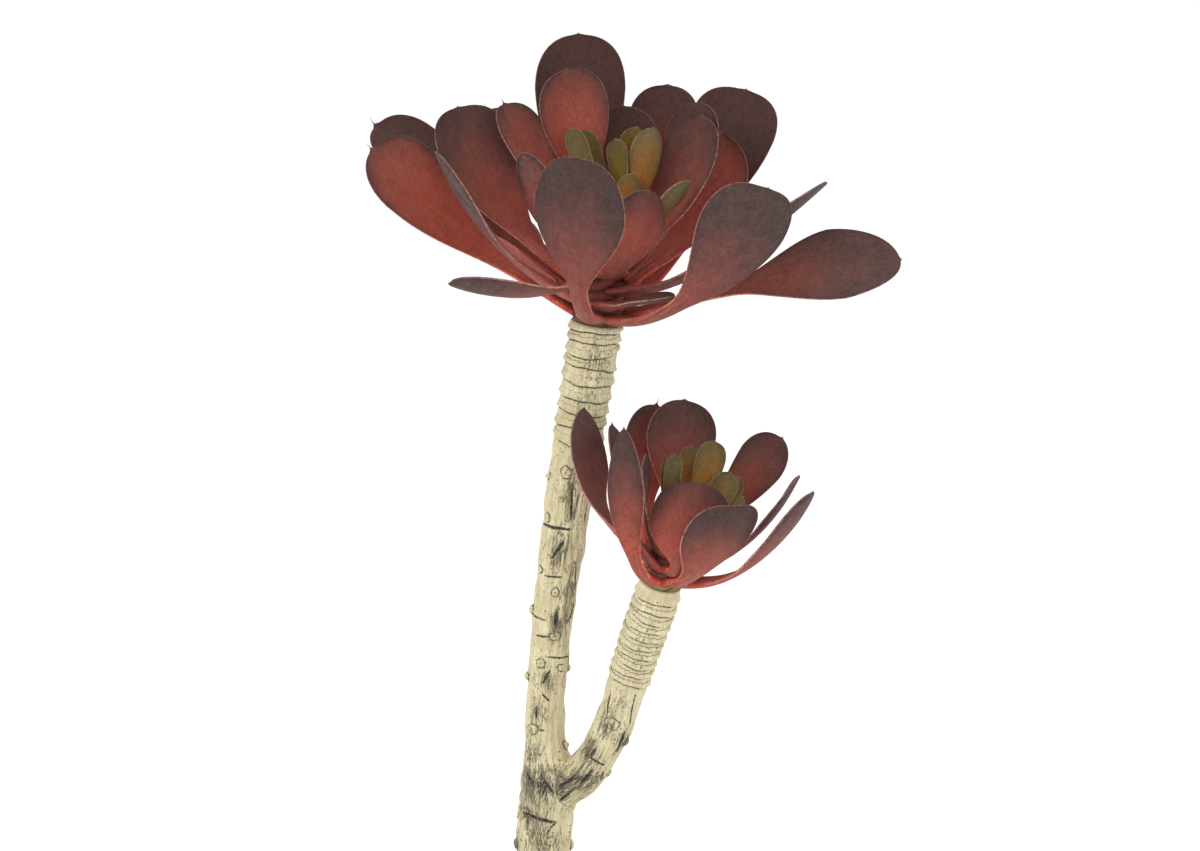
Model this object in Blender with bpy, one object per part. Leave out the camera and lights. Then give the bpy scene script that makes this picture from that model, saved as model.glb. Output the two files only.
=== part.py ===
"""A potted echeveria: a forked, pale stem with two open rosettes of long paddle leaves, in a plain pot.

Lengths are in millimetres and angles in degrees. Each mesh is written in metres, +Z up.
The origin is the centre of the pot's underside. -Y is the plant's front, and +X its right.
"""

from collections import namedtuple
from math import atan2, ceil, cos, exp, pi, radians, sin, sqrt

import bpy
from mathutils import Matrix, Vector

MM = 0.001
GAP = 0.3

# The pot, a plain turned one, and its soil
POT_HEIGHT = 132.0
POT_TOP_RADIUS = 76.0
POT_FOOT_RADIUS = 54.0
POT_WALL = 6.0
POT_RIM_HEIGHT = 24.0
POT_RIM_STEP = 4.0
POT_FLOOR = 8.0
POT_SIDES = 48
DRAIN_RADIUS = 4.0
DRAIN_RING = 26.0
DRAIN_COUNT = 3
DRAIN_SIDES = 12
SOIL_LEVEL = 119.0
SOIL_RELIEF = 1.6
SOIL_SIDES = 40
SOIL_RINGS = 6
HOLE_FLOOR = 50.0

# The stem
TRUNK_SIDES = 20
BRANCH_SIDES = 16
ROW_SPACING = 6.5
RING_HEIGHT = 0.9
RING_CALM = 12.0
SCAR_HEIGHT = 1.5
SCAR_SPREAD = 2.6

# The crowns, which carry the leaves
CROWN_SIDES = 16
CROWN_ROWS = 5
CROWN_DOME = 3.0
HEART_FOOT = 2.5
LEAF_ROWS = 10
LEAF_COLUMNS = 4
HEART_ROWS = 6
HEART_COLUMNS = 2

Station = namedtuple("Station", "x y z radius")
Head = namedtuple("Head", "name limb radius top_radius height")
Ring = namedtuple("Ring", "height left right")
Leaf = namedtuple("Leaf", "seat turn knee tip width cap roll waist square", defaults=(0.28, 2.3))

# Centre line and radius of each limb, from its lower end up
TRUNK = (
    Station(0, 0, HOLE_FLOOR + GAP, 13.6),
    Station(0, 0, SOIL_LEVEL + 3, 13.9),
    Station(0.5, 0, 160, 14.0),
    Station(1.5, 0, 184, 14.1),
    Station(3.0, 0, 205, 14.2),
    Station(3.0, 0, 222, 12.4),
    Station(1.8, 0, 238, 10.2),
    Station(2.5, 0, 258, 9.8),
    Station(4.7, 0, 284, 10.0),
    Station(7.3, 0, 310, 10.5),
    Station(10.0, 0, 331, 11.1),
    Station(13.0, 0, 354, 11.7),
    Station(16.4, 0, 377, 12.0),
    Station(20.0, 0, 400, 12.1),
    Station(23.8, 0, 424, 12.5),
    Station(28.2, 0, 453, 12.8),
)
BRANCH = (
    Station(4, -1, 207, 8.6),
    Station(12, -4, 211, 9.6),
    Station(21, -9, 219, 9.9),
    Station(30, -15, 234, 9.9),
    Station(37, -21, 251, 9.9),
    Station(42, -26, 268, 10.0),
    Station(46.5, -30, 284, 10.2),
    Station(51.5, -34, 301, 10.6),
    Station(56.5, -38, 317, 10.8),
    Station(60.0, -40.5, 330, 10.6),
)
# Ridges round a limb's neck: height at its front, and how much more it is at its left and right
TRUNK_RINGS = (
    Ring(391.4, 3.6, 3.0), Ring(401.7, -1.0, 1.0), Ring(407.9, 0.8, 0.5), Ring(415.0, 1.1, 0.8),
    Ring(422.8, 1.7, 1.3), Ring(432.1, 0.0, -1.6), Ring(436.7, 1.2, 4.6), Ring(445.0, -1.2, -0.1),
    Ring(450.1, -1.0, 0.5),
)
BRANCH_RINGS = (
    Ring(278, 0.6, -0.8), Ring(283, -0.4, 0.5), Ring(288, 0.3, -0.5), Ring(293, 0.5, 0.4),
    Ring(298, -0.5, 0.3), Ring(303, 0.4, -0.4), Ring(308, -0.3, 0.5), Ring(313, 0.5, 0.2),
    Ring(318, -0.4, -0.3), Ring(323, 0.3, 0.5),
)
# Leaf scars, as (height, angle round the limb). The front is at -90
TRUNK_SCARS = (
    (378, -107), (373, -165), (364, -110), (353, -145), (325.5, -153), (316, -93), (303, 178),
    (293.2, -79), (278, -115), (276, -48), (274, 2), (268, 178), (243, -129), (236, -25), (231, -139),
    (198, -142), (185, -76), (178, 178), (179, 0), (150, -110), (134, -60), (364, 60), (340, 110),
    (318, 45), (296, 90), (268, 70), (250, 120), (192, 80), (160, 100),
)
BRANCH_SCARS = (
    (255.8, -105), (236, -131), (246, -30), (225, -63), (227, -15), (268, 90), (246, 120),
)

# The two crowns: each stands on its limb's end and leans the way that the limb does
LARGE = Head("large", TRUNK, 12.2, 7.5, 38)
SMALL = Head("small", BRANCH, 9.6, 5.5, 24)

# Leaves, from the outermost in. Seat: height on the crown and bearing round it. Knee: where the rib
# bends, as (out along that bearing, up). Tip: from the head's base as (right, back, up). Width is the
# greatest, cap the length of the rounded end as a share of it, and roll the blade's turn about its rib.
# Waist is the share of the length that stays narrow, and square is how blunt the rounded end is
LARGE_LEAVES = (
    Leaf(4, 256, (60, 9), (-9, -68, 94.5), 47, 0.52, 0, 0.42, 2.6),
    Leaf(4, 313, (70, 12), (82, -58, 78), 46, 0.42, -35, 0.38, 2.9),
    Leaf(4, -2, (60, 27), (151, 8, 30), 46, 0.62, 38, 0.45, 2.0),
    Leaf(4, 42, (62, 30), (75.5, 60, 106.5), 45, 0.38, 30, 0.4, 2.6),
    Leaf(4, 84, (64, 8), (28, 118, 40), 44, 0.55, 0),
    Leaf(4, 126, (65, 9), (-62, 108, 38), 44, 0.55, 0),
    Leaf(4, 168, (68, 24), (-111, 12, 84.5), 44, 0.5, -40, 0.2, 2.3),
    Leaf(10, 285, (24, 14), (38, -35, 20), 22, 0.8, 25),
    Leaf(32, 247, (48, 11), (-71, -43, 28.5), 30, 0.8, 2, 0.3, 2.2),
    Leaf(10, 188, (64, 27), (-78, -16.5, 88), 37.5, 0.7, 0, 0.25, 2.2),
    Leaf(13, 147, (70, 32), (-111, 50, 90), 43, 0.5, -20),
    Leaf(10, 105, (58, 40), (-9, 59, 135), 46, 0.45, -20, 0.28, 2.5),
    Leaf(13, 62, (56, 37), (36, 60, 109), 38, 0.5, 0, 0.28, 2.5),
    Leaf(18, 330, (55, 26), (114, 20, 66), 40, 0.8, -15, 0.16, 2.1),
    Leaf(26, 290, (31, 36), (26, -26, 71), 36, 0.58, 0, 0.2, 2.3),
    Leaf(26, 196, (29, 44), (-36, -16, 88), 21, 1.25, 60, 0.0, 1.9),
    Leaf(17, 166, (56, 34), (-69, 30.5, 102.5), 43, 0.48, -40, 0.26, 2.6),
    Leaf(20, 126, (49, 46), (-55, 61, 96), 36, 0.5, 0),
    Leaf(18, 36, (50, 38), (62, 37, 88.5), 47, 0.45, 30, 0.14, 2.3),
    Leaf(24, 146, (39, 55), (-46, 37, 103), 32, 0.55, -10, 0.28, 2.5),
    Leaf(27, 78, (36, 52), (13, 38, 102), 36, 0.5, 0),
    Leaf(24, 25, (40, 50), (52, 24, 106), 31, 0.55, 20),
    Leaf(31, 126, (30, 68), (-15, 24, 122.5), 36, 0.5, -38, 0.28, 2.5),
    Leaf(32, 12, (36, 50), (52, 14, 101), 35, 0.5, 25, 0.2, 2.4),
)
SMALL_LEAVES = (
    Leaf(4, 238, (42, 11), (-18.5, -32, 86.5), 19, 1.1, 55, 0.36, 1.8),
    Leaf(5, 305, (32, 18), (35, -46, 51.5), 39, 0.42, 0, 0.14, 2.6),
    Leaf(4, 350, (46, 9), (73, -26, 53), 25, 0.75, -18, 0.28, 2.1),
    Leaf(4, 45, (37, 5), (30, 58, 22), 30, 0.6, 0),
    Leaf(4, 110, (37, 5), (-14, 58, 28), 28, 0.6, 0),
    Leaf(12, 180, (54, 26), (-38, 14, 85), 36, 0.85, 0, 0.28, 1.9),
    Leaf(10, 222, (33, 26), (-24, 8, 78), 20, 0.9, 0),
    Leaf(11, 285, (31, 16), (15.5, -22, 57), 40, 0.36, 0, 0.28, 2.9),
    Leaf(10, 5, (42, 20), (68, 8, 52), 19, 0.8, -35, 0.28, 2.2),
    Leaf(12, 55, (42, 25), (60.5, 28, 66.5), 27, 0.5, 10),
    Leaf(10, 125, (40, 27), (-2, 34, 82), 30, 0.55, 0),
    Leaf(18, 100, (34, 38), (12, 28, 86), 36, 0.5, 0, 0.28, 2.5),
    Leaf(18, 205, (23, 36), (-8, -8, 67), 12, 0.8, 0, 0.28, 2.0),
)
# The young leaves in the middle of each head grow from the crown's top
LARGE_HEART = (
    Leaf(36, 170, (10, 63), (-12.5, 6, 96), 11, 0.7, -72, 0.2, 2.2),
    Leaf(36, 110, (10, 61), (-7, 12, 94), 12, 0.7, -50, 0.2, 2.2),
    Leaf(36, 20, (7, 60), (9.5, 2, 91.5), 11, 0.6, -80, 0.2, 2.4),
    Leaf(36, 60, (10, 63), (20, 10, 96), 16, 0.6, 30, 0.2, 2.3),
    Leaf(36, 350, (11, 63), (28, 2, 97), 17, 0.7, -80, 0.2, 2.2),
    Leaf(36, 290, (9, 53), (18, -8, 76), 13, 0.7, -40, 0.2, 2.2),
    Leaf(36, 330, (20, 50), (46, -6, 72), 12, 0.8, -40, 0.2, 2.0),
    Leaf(36, 220, (8, 54), (-2, -6, 80), 10, 0.6, 0),
    Leaf(36, 260, (4, 49), (6, -6, 66), 9, 0.6, 0),
)
SMALL_HEART = (
    Leaf(23, 170, (8, 42), (3, 0, 63), 8, 0.8, -40, 0.2, 2.0),
    Leaf(23, 200, (8, 41), (7, -4, 66.5), 9, 0.7, -60, 0.2, 2.3),
    Leaf(23, 90, (9, 44), (15, 7, 67.5), 12, 0.6, 0, 0.2, 2.4),
    Leaf(23, 40, (11, 44), (26, 4, 71), 15, 0.55, 25, 0.2, 2.5),
    Leaf(23, 350, (15, 41), (34, 0, 56), 14, 0.6, 45, 0.2, 2.3),
    Leaf(23, 10, (17, 39), (38, 6, 52), 11, 0.6, 45, 0.2, 2.3),
    Leaf(23, 310, (14, 37), (40, -4, 45), 10, 0.6, 45, 0.2, 2.3),
)
# Leaf sections: width at the foot, how far the rims rise as a share of half the width, and the point
# beyond the rounded end
NECK = {"large": 9.0, "small": 6.5}
HEART_NECK = 5.0
LEAF_CUP = 0.22
HEART_CUP = 0.3
POINT = 1.5
FOOT_THICKNESS = 3.4
RIB_THICKNESS = 2.0
TIP_THICKNESS = 1.5
RIM_THICKNESS = 0.9

RED_BROWN = (0.20, 0.05, 0.04, 1)
OLIVE = (0.16, 0.08, 0.02, 1)
CREAM = (0.46, 0.40, 0.23, 1)
TERRACOTTA = (0.38, 0.16, 0.09, 1)
DARK_SOIL = (0.03, 0.02, 0.015, 1)


def clear_scene():
    for obj in list(bpy.data.objects):
        bpy.data.objects.remove(obj)


def material(name, colour, roughness):
    made = bpy.data.materials.new(name)
    made.use_nodes = True
    shader = made.node_tree.nodes["Principled BSDF"]
    shader.inputs["Base Color"].default_value = colour
    shader.inputs["Roughness"].default_value = roughness
    shader.inputs["Metallic"].default_value = 0
    return made


def smoothstep(low, high, value):
    t = min(1.0, max(0.0, (value - low) / (high - low)))
    return t * t * (3 - 2 * t)


def add_object(name, points, faces, finish, smooth=True):
    """A mesh object from points in millimetres."""
    mesh = bpy.data.meshes.new(name)
    mesh.from_pydata([point * MM for point in points], [], faces)
    mesh.materials.append(finish)
    if smooth:
        mesh.shade_smooth()
    obj = bpy.data.objects.new(name, mesh)
    bpy.context.scene.collection.objects.link(obj)
    return obj


def combine(obj, others, operation="UNION"):
    """Applies a Boolean of the other objects to obj, and removes them."""
    group = bpy.data.collections.new("others")
    for other in others:
        bpy.context.scene.collection.objects.unlink(other)
        group.objects.link(other)
    bpy.context.scene.collection.children.link(group)
    modifier = obj.modifiers.new("combine", "BOOLEAN")
    modifier.operation = operation
    modifier.solver = "EXACT"
    modifier.operand_type = "COLLECTION"
    modifier.collection = group
    graph = bpy.context.evaluated_depsgraph_get()
    mesh = bpy.data.meshes.new_from_object(obj.evaluated_get(graph))
    obj.modifiers.clear()
    obj.data = mesh
    for other in others:
        bpy.data.objects.remove(other)
    bpy.data.collections.remove(group)
    return obj


def ring_faces(rows, sides):
    """Quads between rings of points, with the first and last points of the list as the two poles."""
    faces = []
    last = 1 + rows * sides
    for j in range(sides):
        k = (j + 1) % sides
        faces.append((0, 1 + k, 1 + j))
        for i in range(rows - 1):
            low = 1 + i * sides
            high = low + sides
            faces.append((low + j, low + k, high + k, high + j))
        top = last - sides
        faces.append((top + j, top + k, last))
    return faces


def turned(name, profile, sides, finish, lift=None):
    """A solid turned about Z from (radius, height) points that start and end on the axis."""
    points = [Vector((0, 0, profile[0][1]))]
    rings = profile[1:-1]
    for radius, height in rings:
        for j in range(sides):
            angle = 2 * pi * j / sides
            place = Vector((radius * cos(angle), radius * sin(angle), height))
            if lift:
                place.z += lift(place)
            points.append(place)
    points.append(Vector((0, 0, profile[-1][1])))
    return add_object(name, points, ring_faces(len(rings), sides), finish)


def pot():
    """The pot, with its rolled rim, and three drain holes round the middle of its floor."""
    inner = POT_TOP_RADIUS - POT_WALL - POT_RIM_STEP
    rim_foot = POT_HEIGHT - POT_RIM_HEIGHT
    body_top = POT_TOP_RADIUS - POT_RIM_STEP
    profile = (
        (0, 0),
        (POT_FOOT_RADIUS - 2, 0),
        (POT_FOOT_RADIUS, 2),
        (body_top, rim_foot),
        (POT_TOP_RADIUS - 1, rim_foot + 1),
        (POT_TOP_RADIUS, rim_foot + 3),
        (POT_TOP_RADIUS, POT_HEIGHT - 2.5),
        (POT_TOP_RADIUS - 2.5, POT_HEIGHT),
        (inner + 2, POT_HEIGHT),
        (inner, POT_HEIGHT - 2),
        (pot_inside(POT_FLOOR + 3), POT_FLOOR + 3),
        (pot_inside(POT_FLOOR) - 3, POT_FLOOR),
        (0, POT_FLOOR),
    )
    finish = material("terracotta", TERRACOTTA, 0.8)
    shell = turned("pot", profile, POT_SIDES, finish)
    bore = ((0, -POT_FLOOR), (DRAIN_RADIUS, -POT_FLOOR), (DRAIN_RADIUS, 2 * POT_FLOOR), (0, 2 * POT_FLOOR))
    drills = []
    for k in range(DRAIN_COUNT):
        angle = 2 * pi * k / DRAIN_COUNT
        drill = turned("drill", bore, DRAIN_SIDES, finish)
        drill.location = Vector((cos(angle), sin(angle), 0)) * DRAIN_RING * MM
        drills.append(drill)
    combine(shell, drills, "DIFFERENCE")


def pot_inside(height):
    """The pot's inner radius at a height."""
    top = POT_TOP_RADIUS - POT_WALL - POT_RIM_STEP
    foot = POT_FOOT_RADIUS - POT_WALL
    return foot + (top - foot) * height / (POT_HEIGHT - 2)


def soil_lift(place):
    """Gentle humps on the soil's top, and none lower down."""
    if place.z < SOIL_LEVEL - 1:
        return 0.0
    x, y = place.x, place.y
    humps = sin(x * 0.19 + 1.0) * cos(y * 0.23)
    humps += 0.6 * sin(x * 0.41 - y * 0.37) + 0.4 * cos(y * 0.7 + x * 0.3)
    return SOIL_RELIEF * humps * smoothstep(13, 24, sqrt(x * x + y * y))


def soil():
    """The soil, filling the pot, with a plain hole that the stem stands in."""
    edge = pot_inside(SOIL_LEVEL) - GAP
    foot = POT_FLOOR + GAP
    hole = TRUNK[0].radius + 2 * GAP
    reach = edge - hole
    top = [(edge - reach * k / SOIL_RINGS, SOIL_LEVEL) for k in range(SOIL_RINGS)]
    profile = (
        [(0, foot), (pot_inside(foot) - 3 - GAP, foot), (pot_inside(foot + 3) - GAP, foot + 3)]
        + top
        + [(hole + GAP, SOIL_LEVEL), (hole, SOIL_LEVEL - 2), (hole, HOLE_FLOOR), (0, HOLE_FLOOR)]
    )
    turned("soil", profile, SOIL_SIDES, material("soil", DARK_SOIL, 0.95), soil_lift)


def along(stations, z):
    """Centre and radius of a limb at a height, on a smooth curve through its stations."""
    k = 0
    while k < len(stations) - 2 and stations[k + 1].z <= z:
        k += 1
    a, b = stations[k], stations[k + 1]
    before = stations[max(k - 1, 0)]
    after = stations[min(k + 2, len(stations) - 1)]
    t = (z - a.z) / (b.z - a.z)
    values = []
    for name in ("x", "y", "radius"):
        p, q = getattr(a, name), getattr(b, name)
        span = b.z - a.z
        slope_p = (q - getattr(before, name)) / (b.z - before.z) * span
        slope_q = (getattr(after, name) - p) / (after.z - a.z) * span
        values.append(
            (2 * t**3 - 3 * t**2 + 1) * p
            + (t**3 - 2 * t**2 + t) * slope_p
            + (3 * t**2 - 2 * t**3) * q
            + (t**3 - t**2) * slope_q
        )
    return Vector((values[0], values[1], z)), values[2]


def heading(stations, z):
    """The direction in which a limb grows at a height."""
    ahead = along(stations, min(z + 1, stations[-1].z))[0]
    behind = along(stations, max(z - 1, stations[0].z))[0]
    return (ahead - behind).normalized()


def limb_rows(stations, rings):
    """Heights of a limb's rings of points: even ones, and close ones that draw each ridge."""
    low, high = stations[0].z, stations[-1].z
    first = rings[0].height - 3
    count = ceil((first - low) / ROW_SPACING)
    rows = [low + (first - low) * k / count for k in range(count + 1)]
    for ring in rings:
        rows += [ring.height - 1.2, ring.height, ring.height + 1.0]
    return rows + [high - 1, high]


def ring_wave(z, angle, rings):
    """How far a ridge runs up or down as it goes round, from its height at the front."""
    ends = [Ring(rings[0].height - RING_CALM, 0, 0), *rings]
    k = 0
    while k < len(ends) - 2 and ends[k + 1].height <= z:
        k += 1
    low, high = ends[k], ends[k + 1]
    share = min(1.0, max(0.0, (z - low.height) / (high.height - low.height)))
    left = low.left + (high.left - low.left) * share
    right = low.right + (high.right - low.right) * share
    aside = cos(angle)
    return (left + right) / 2 * aside**2 + (right - left) / 2 * aside


def scar_bump(z, angle, radius, scars):
    """Height of the raised leaf scars at a place on a limb."""
    height = 0.0
    for scar_z, scar_angle in scars:
        across = ((angle - radians(scar_angle) + pi) % (2 * pi) - pi) * radius
        spread = (across**2 + (z - scar_z) ** 2) / SCAR_SPREAD**2
        height += SCAR_HEIGHT * exp(-spread)
    return height


def limb(name, stations, rings, scars, sides, finish):
    """A closed limb of the stem with ridges round its neck and leaf scars below them."""
    rows = limb_rows(stations, rings)
    heights = [ring.height for ring in rings]
    points = [along(stations, rows[0])[0]]
    for z in rows:
        centre, radius = along(stations, z)
        turn = Vector((0, 0, 1)).rotation_difference(heading(stations, z))
        ridge = RING_HEIGHT if z in heights else 0.0
        for j in range(sides):
            angle = 2 * pi * j / sides
            wave = ring_wave(z, angle, rings) if z < rows[-2] else 0.0
            reach = radius + ridge + scar_bump(z, angle, radius, scars)
            points.append(centre + turn @ Vector((reach * cos(angle), reach * sin(angle), wave)))
    points.append(along(stations, rows[-1])[0])
    return add_object(name, points, ring_faces(len(rows), sides), finish)


def stem():
    """The trunk and its branch, grown together at the fork."""
    finish = material("stem", CREAM, 0.8)
    trunk = limb("stem", TRUNK, TRUNK_RINGS, TRUNK_SCARS, TRUNK_SIDES, finish)
    branch = limb("branch", BRANCH, BRANCH_RINGS, BRANCH_SCARS, BRANCH_SIDES, finish)
    combine(trunk, [branch])


def crown_radius(head, height):
    """Radius of a head's crown at a height above its base."""
    return head.radius + (head.top_radius - head.radius) * smoothstep(0, head.height, height)


def head_place(head):
    """A head's base and the turn from upright to its axis, both set by the end of its limb."""
    end = head.limb[-1]
    turn = Vector((0, 0, 1)).rotation_difference(heading(head.limb, end.z))
    return Vector((end.x, end.y, end.z)), turn


def blade_width(t, leaf, neck, length):
    """Width of a leaf at t, from 0 at its seat to 1 at its tip."""
    widest = 1 - leaf.cap * leaf.width / length
    if t > widest:
        past = (t - widest) / (1 - widest)
        return leaf.width * max(0.0, 1 - past**leaf.square) ** (1 / leaf.square)
    return neck + (leaf.width - neck) * smoothstep(leaf.waist, widest + 0.03, t)


def leaf_spine(leaf, head, start):
    """The three control points of a leaf's rib, and the ways out from the crown at its ends."""
    base, turn = head_place(head)
    bearing = radians(leaf.turn)
    outward = turn @ Vector((cos(bearing), sin(bearing), 0))
    up = turn @ Vector((0, 0, 1))
    seat = base + up * leaf.seat + outward * start
    knee = base + up * leaf.knee[1] + outward * leaf.knee[0]
    tip = base + Vector(leaf.tip)
    away = (tip - base) - up * up.dot(tip - base)
    return (seat, knee, tip), (outward, away.normalized(), up)


def leaf_section(leaf, spine, ways, t):
    """Place, side direction and inner normal of a leaf's cross-section at t."""
    seat, knee, tip = spine
    outward, away, up = ways
    place = seat * (1 - t) ** 2 + knee * 2 * t * (1 - t) + tip * t * t
    ahead = ((knee - seat) * (1 - t) + (tip - knee) * t).normalized()
    lean = up - outward.lerp(away, t).normalized()
    normal = (lean - ahead * lean.dot(ahead)).normalized()
    normal = Matrix.Rotation(radians(leaf.roll) * smoothstep(0.05, 0.6, t), 3, ahead) @ normal
    return place, ahead.cross(normal), normal


def half_thickness(t, u, neck):
    """Half the thickness of a leaf, thick at its seat and along its rib, thin at its rim."""
    rib = FOOT_THICKNESS + (RIB_THICKNESS - FOOT_THICKNESS) * smoothstep(0.1, 0.7, t)
    rib += (TIP_THICKNESS - RIB_THICKNESS) * smoothstep(0.8, 1.0, t)
    rib *= min(1.0, neck / NECK["small"])
    return (RIM_THICKNESS + (rib - RIM_THICKNESS) * (1 - u * u)) / 2


def leaf_mesh(leaf, head, neck, start, rows, columns, cup):
    """Points and triangles of one leaf: an inner and an outer skin joined round the rim."""
    spine, ways = leaf_spine(leaf, head, start)
    length = (spine[2] - spine[0]).length
    points = []
    for i in range(rows):
        t = sin(pi / 2 * (i / rows) ** 0.9)
        place, side, normal = leaf_section(leaf, spine, ways, t)
        half = blade_width(t, leaf, neck, length) / 2
        for face in (1, -1):
            for j in range(columns + 1):
                u = 2 * j / columns - 1
                lift = cup * half * u * u * smoothstep(0.2, 0.7, t) + face * half_thickness(t, u, neck)
                points.append(place + side * (u * half) + normal * lift)
    points.append(spine[2] + (spine[2] - spine[1]).normalized() * POINT)
    return points, leaf_faces(rows, columns)


def leaf_faces(rows, columns):
    """Triangles of a leaf, split alike on both skins."""
    ring = 2 * (columns + 1)
    apex = rows * ring
    faces = []

    def quad(a, b, c, d):
        faces.extend(((a, b, c), (a, c, d)))

    for i in range(rows - 1):
        low, high = i * ring, (i + 1) * ring
        for j in range(columns):
            quad(low + j, low + j + 1, high + j + 1, high + j)
            under, over = low + columns + 1 + j, high + columns + 1 + j
            faces.extend(((under, over + 1, under + 1), (under, over, over + 1)))
        quad(low + columns, low + 2 * columns + 1, high + 2 * columns + 1, high + columns)
        quad(low + columns + 1, low, high, high + columns + 1)
    for j in range(columns):
        quad(columns + 1 + j, columns + 2 + j, j + 1, j)
    last = (rows - 1) * ring
    for j in range(columns):
        faces.append((last + j, last + j + 1, apex))
        faces.append((last + columns + 2 + j, last + columns + 1 + j, apex))
    faces.append((last + columns, last + 2 * columns + 1, apex))
    faces.append((last + columns + 1, last, apex))
    return faces


def leaf_start(head, leaf, neck):
    """How far out a leaf's base starts, for both of its skins to clear the crown as it rises."""
    half = half_thickness(0, 0, neck)
    rise = atan2(leaf.knee[1] - leaf.seat, leaf.knee[0] - crown_radius(head, leaf.seat))
    above = crown_radius(head, leaf.seat + half * cos(rise)) + half * sin(rise)
    below = crown_radius(head, leaf.seat - half * cos(rise)) - half * sin(rise)
    return max(above, below) + GAP


def leaves(head, table, finish):
    """Each of a head's large leaves, as its own solid, seated against the crown."""
    neck = NECK[head.name]
    for number, leaf in enumerate(table, 1):
        start = leaf_start(head, leaf, neck)
        points, faces = leaf_mesh(leaf, head, neck, start, LEAF_ROWS, LEAF_COLUMNS, LEAF_CUP)
        add_object(f"{head.name}_leaf_{number:02d}", points, faces, finish)


def heart(head, table, finish):
    """A head's crown, with the young leaves that grow from its top."""
    base, turn = head_place(head)
    points = [base + turn @ Vector((0, 0, GAP))]
    for i in range(CROWN_ROWS):
        height = GAP + (head.height - GAP) * i / (CROWN_ROWS - 1)
        radius = crown_radius(head, height)
        for j in range(CROWN_SIDES):
            angle = 2 * pi * j / CROWN_SIDES
            points.append(base + turn @ Vector((radius * cos(angle), radius * sin(angle), height)))
    points.append(base + turn @ Vector((0, 0, head.height + CROWN_DOME)))
    crown = add_object(f"{head.name}_heart", points, ring_faces(CROWN_ROWS, CROWN_SIDES), finish)
    young = []
    for leaf in table:
        made = leaf_mesh(leaf, head, HEART_NECK, HEART_FOOT, HEART_ROWS, HEART_COLUMNS, HEART_CUP)
        young.append(add_object("young", *made, finish))
    combine(crown, young)


def build():
    clear_scene()
    pot()
    soil()
    stem()
    leaf_finish = material("leaf", RED_BROWN, 0.55)
    heart_finish = material("heart", OLIVE, 0.5)
    for head, table, young in ((LARGE, LARGE_LEAVES, LARGE_HEART), (SMALL, SMALL_LEAVES, SMALL_HEART)):
        leaves(head, table, leaf_finish)
        heart(head, young, heart_finish)


build()
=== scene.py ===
from collections import namedtuple
from math import atan2, cos, exp, pi, radians, sin, sqrt

import bpy
import numpy as np
from mathutils import Matrix, Vector
from mathutils.noise import noise


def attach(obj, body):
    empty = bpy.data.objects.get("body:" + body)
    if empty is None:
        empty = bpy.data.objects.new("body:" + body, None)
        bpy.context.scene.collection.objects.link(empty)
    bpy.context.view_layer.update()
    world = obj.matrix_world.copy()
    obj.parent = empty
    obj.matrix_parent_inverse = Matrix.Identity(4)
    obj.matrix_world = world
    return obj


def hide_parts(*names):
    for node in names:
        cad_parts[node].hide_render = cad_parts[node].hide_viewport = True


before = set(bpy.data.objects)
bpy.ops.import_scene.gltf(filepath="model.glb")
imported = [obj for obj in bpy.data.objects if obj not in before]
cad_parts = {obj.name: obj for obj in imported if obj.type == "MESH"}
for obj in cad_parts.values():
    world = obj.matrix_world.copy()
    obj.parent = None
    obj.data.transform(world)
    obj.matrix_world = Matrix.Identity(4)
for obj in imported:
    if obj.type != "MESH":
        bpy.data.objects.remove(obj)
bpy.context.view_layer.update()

MM = 0.001
GAP = 0.3

POT_HEIGHT = 132.0
POT_TOP_RADIUS = 76.0
POT_FOOT_RADIUS = 54.0
POT_WALL = 6.0
POT_RIM_HEIGHT = 24.0
POT_RIM_STEP = 4.0
POT_FLOOR = 8.0
DRAIN_RADIUS = 4.0
DRAIN_RING = 26.0
DRAIN_COUNT = 3
SOIL_LEVEL = 119.0
SOIL_RELIEF = 1.6
HOLE_FLOOR = 50.0

Station = namedtuple("Station", "x y z radius")
Head = namedtuple("Head", "name limb radius top_radius height neck")
Ring = namedtuple("Ring", "height left right")
Leaf = namedtuple("Leaf", "seat turn knee tip width cap roll look waist square", defaults=(0.28, 2.3))
# How red and how dark a leaf is, from 0 to 1, how much pale bloom lies on it, and its tip's thorn
Look = namedtuple("Look", "red dark bloom thorn")
Rod = namedtuple("Rod", "heights centres heads rights backs radii")
Palette = namedtuple("Palette", "foot body warm tip back_foot back_body back_tip rim edge")
# Centre line and radius of each limb, from its lower end up
TRUNK = (
    Station(0, 0, HOLE_FLOOR + GAP, 13.6),
    Station(0, 0, SOIL_LEVEL + 3, 13.9),
    Station(0.5, 0, 160, 14.0),
    Station(1.5, 0, 184, 14.1),
    Station(3.0, 0, 205, 14.2),
    Station(3.0, 0, 222, 12.4),
    Station(1.8, 0, 238, 10.2),
    Station(2.5, 0, 258, 9.8),
    Station(4.7, 0, 284, 10.0),
    Station(7.3, 0, 310, 10.5),
    Station(10.0, 0, 331, 11.1),
    Station(13.0, 0, 354, 11.7),
    Station(16.4, 0, 377, 12.0),
    Station(20.0, 0, 400, 12.1),
    Station(23.8, 0, 424, 12.5),
    Station(28.2, 0, 453, 12.8),
)
BRANCH = (
    Station(4, -1, 207, 8.6),
    Station(12, -4, 211, 9.6),
    Station(21, -9, 219, 9.9),
    Station(30, -15, 234, 9.9),
    Station(37, -21, 251, 9.9),
    Station(42, -26, 268, 10.0),
    Station(46.5, -30, 284, 10.2),
    Station(51.5, -34, 301, 10.6),
    Station(56.5, -38, 317, 10.8),
    Station(60.0, -40.5, 330, 10.6),
)
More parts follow.
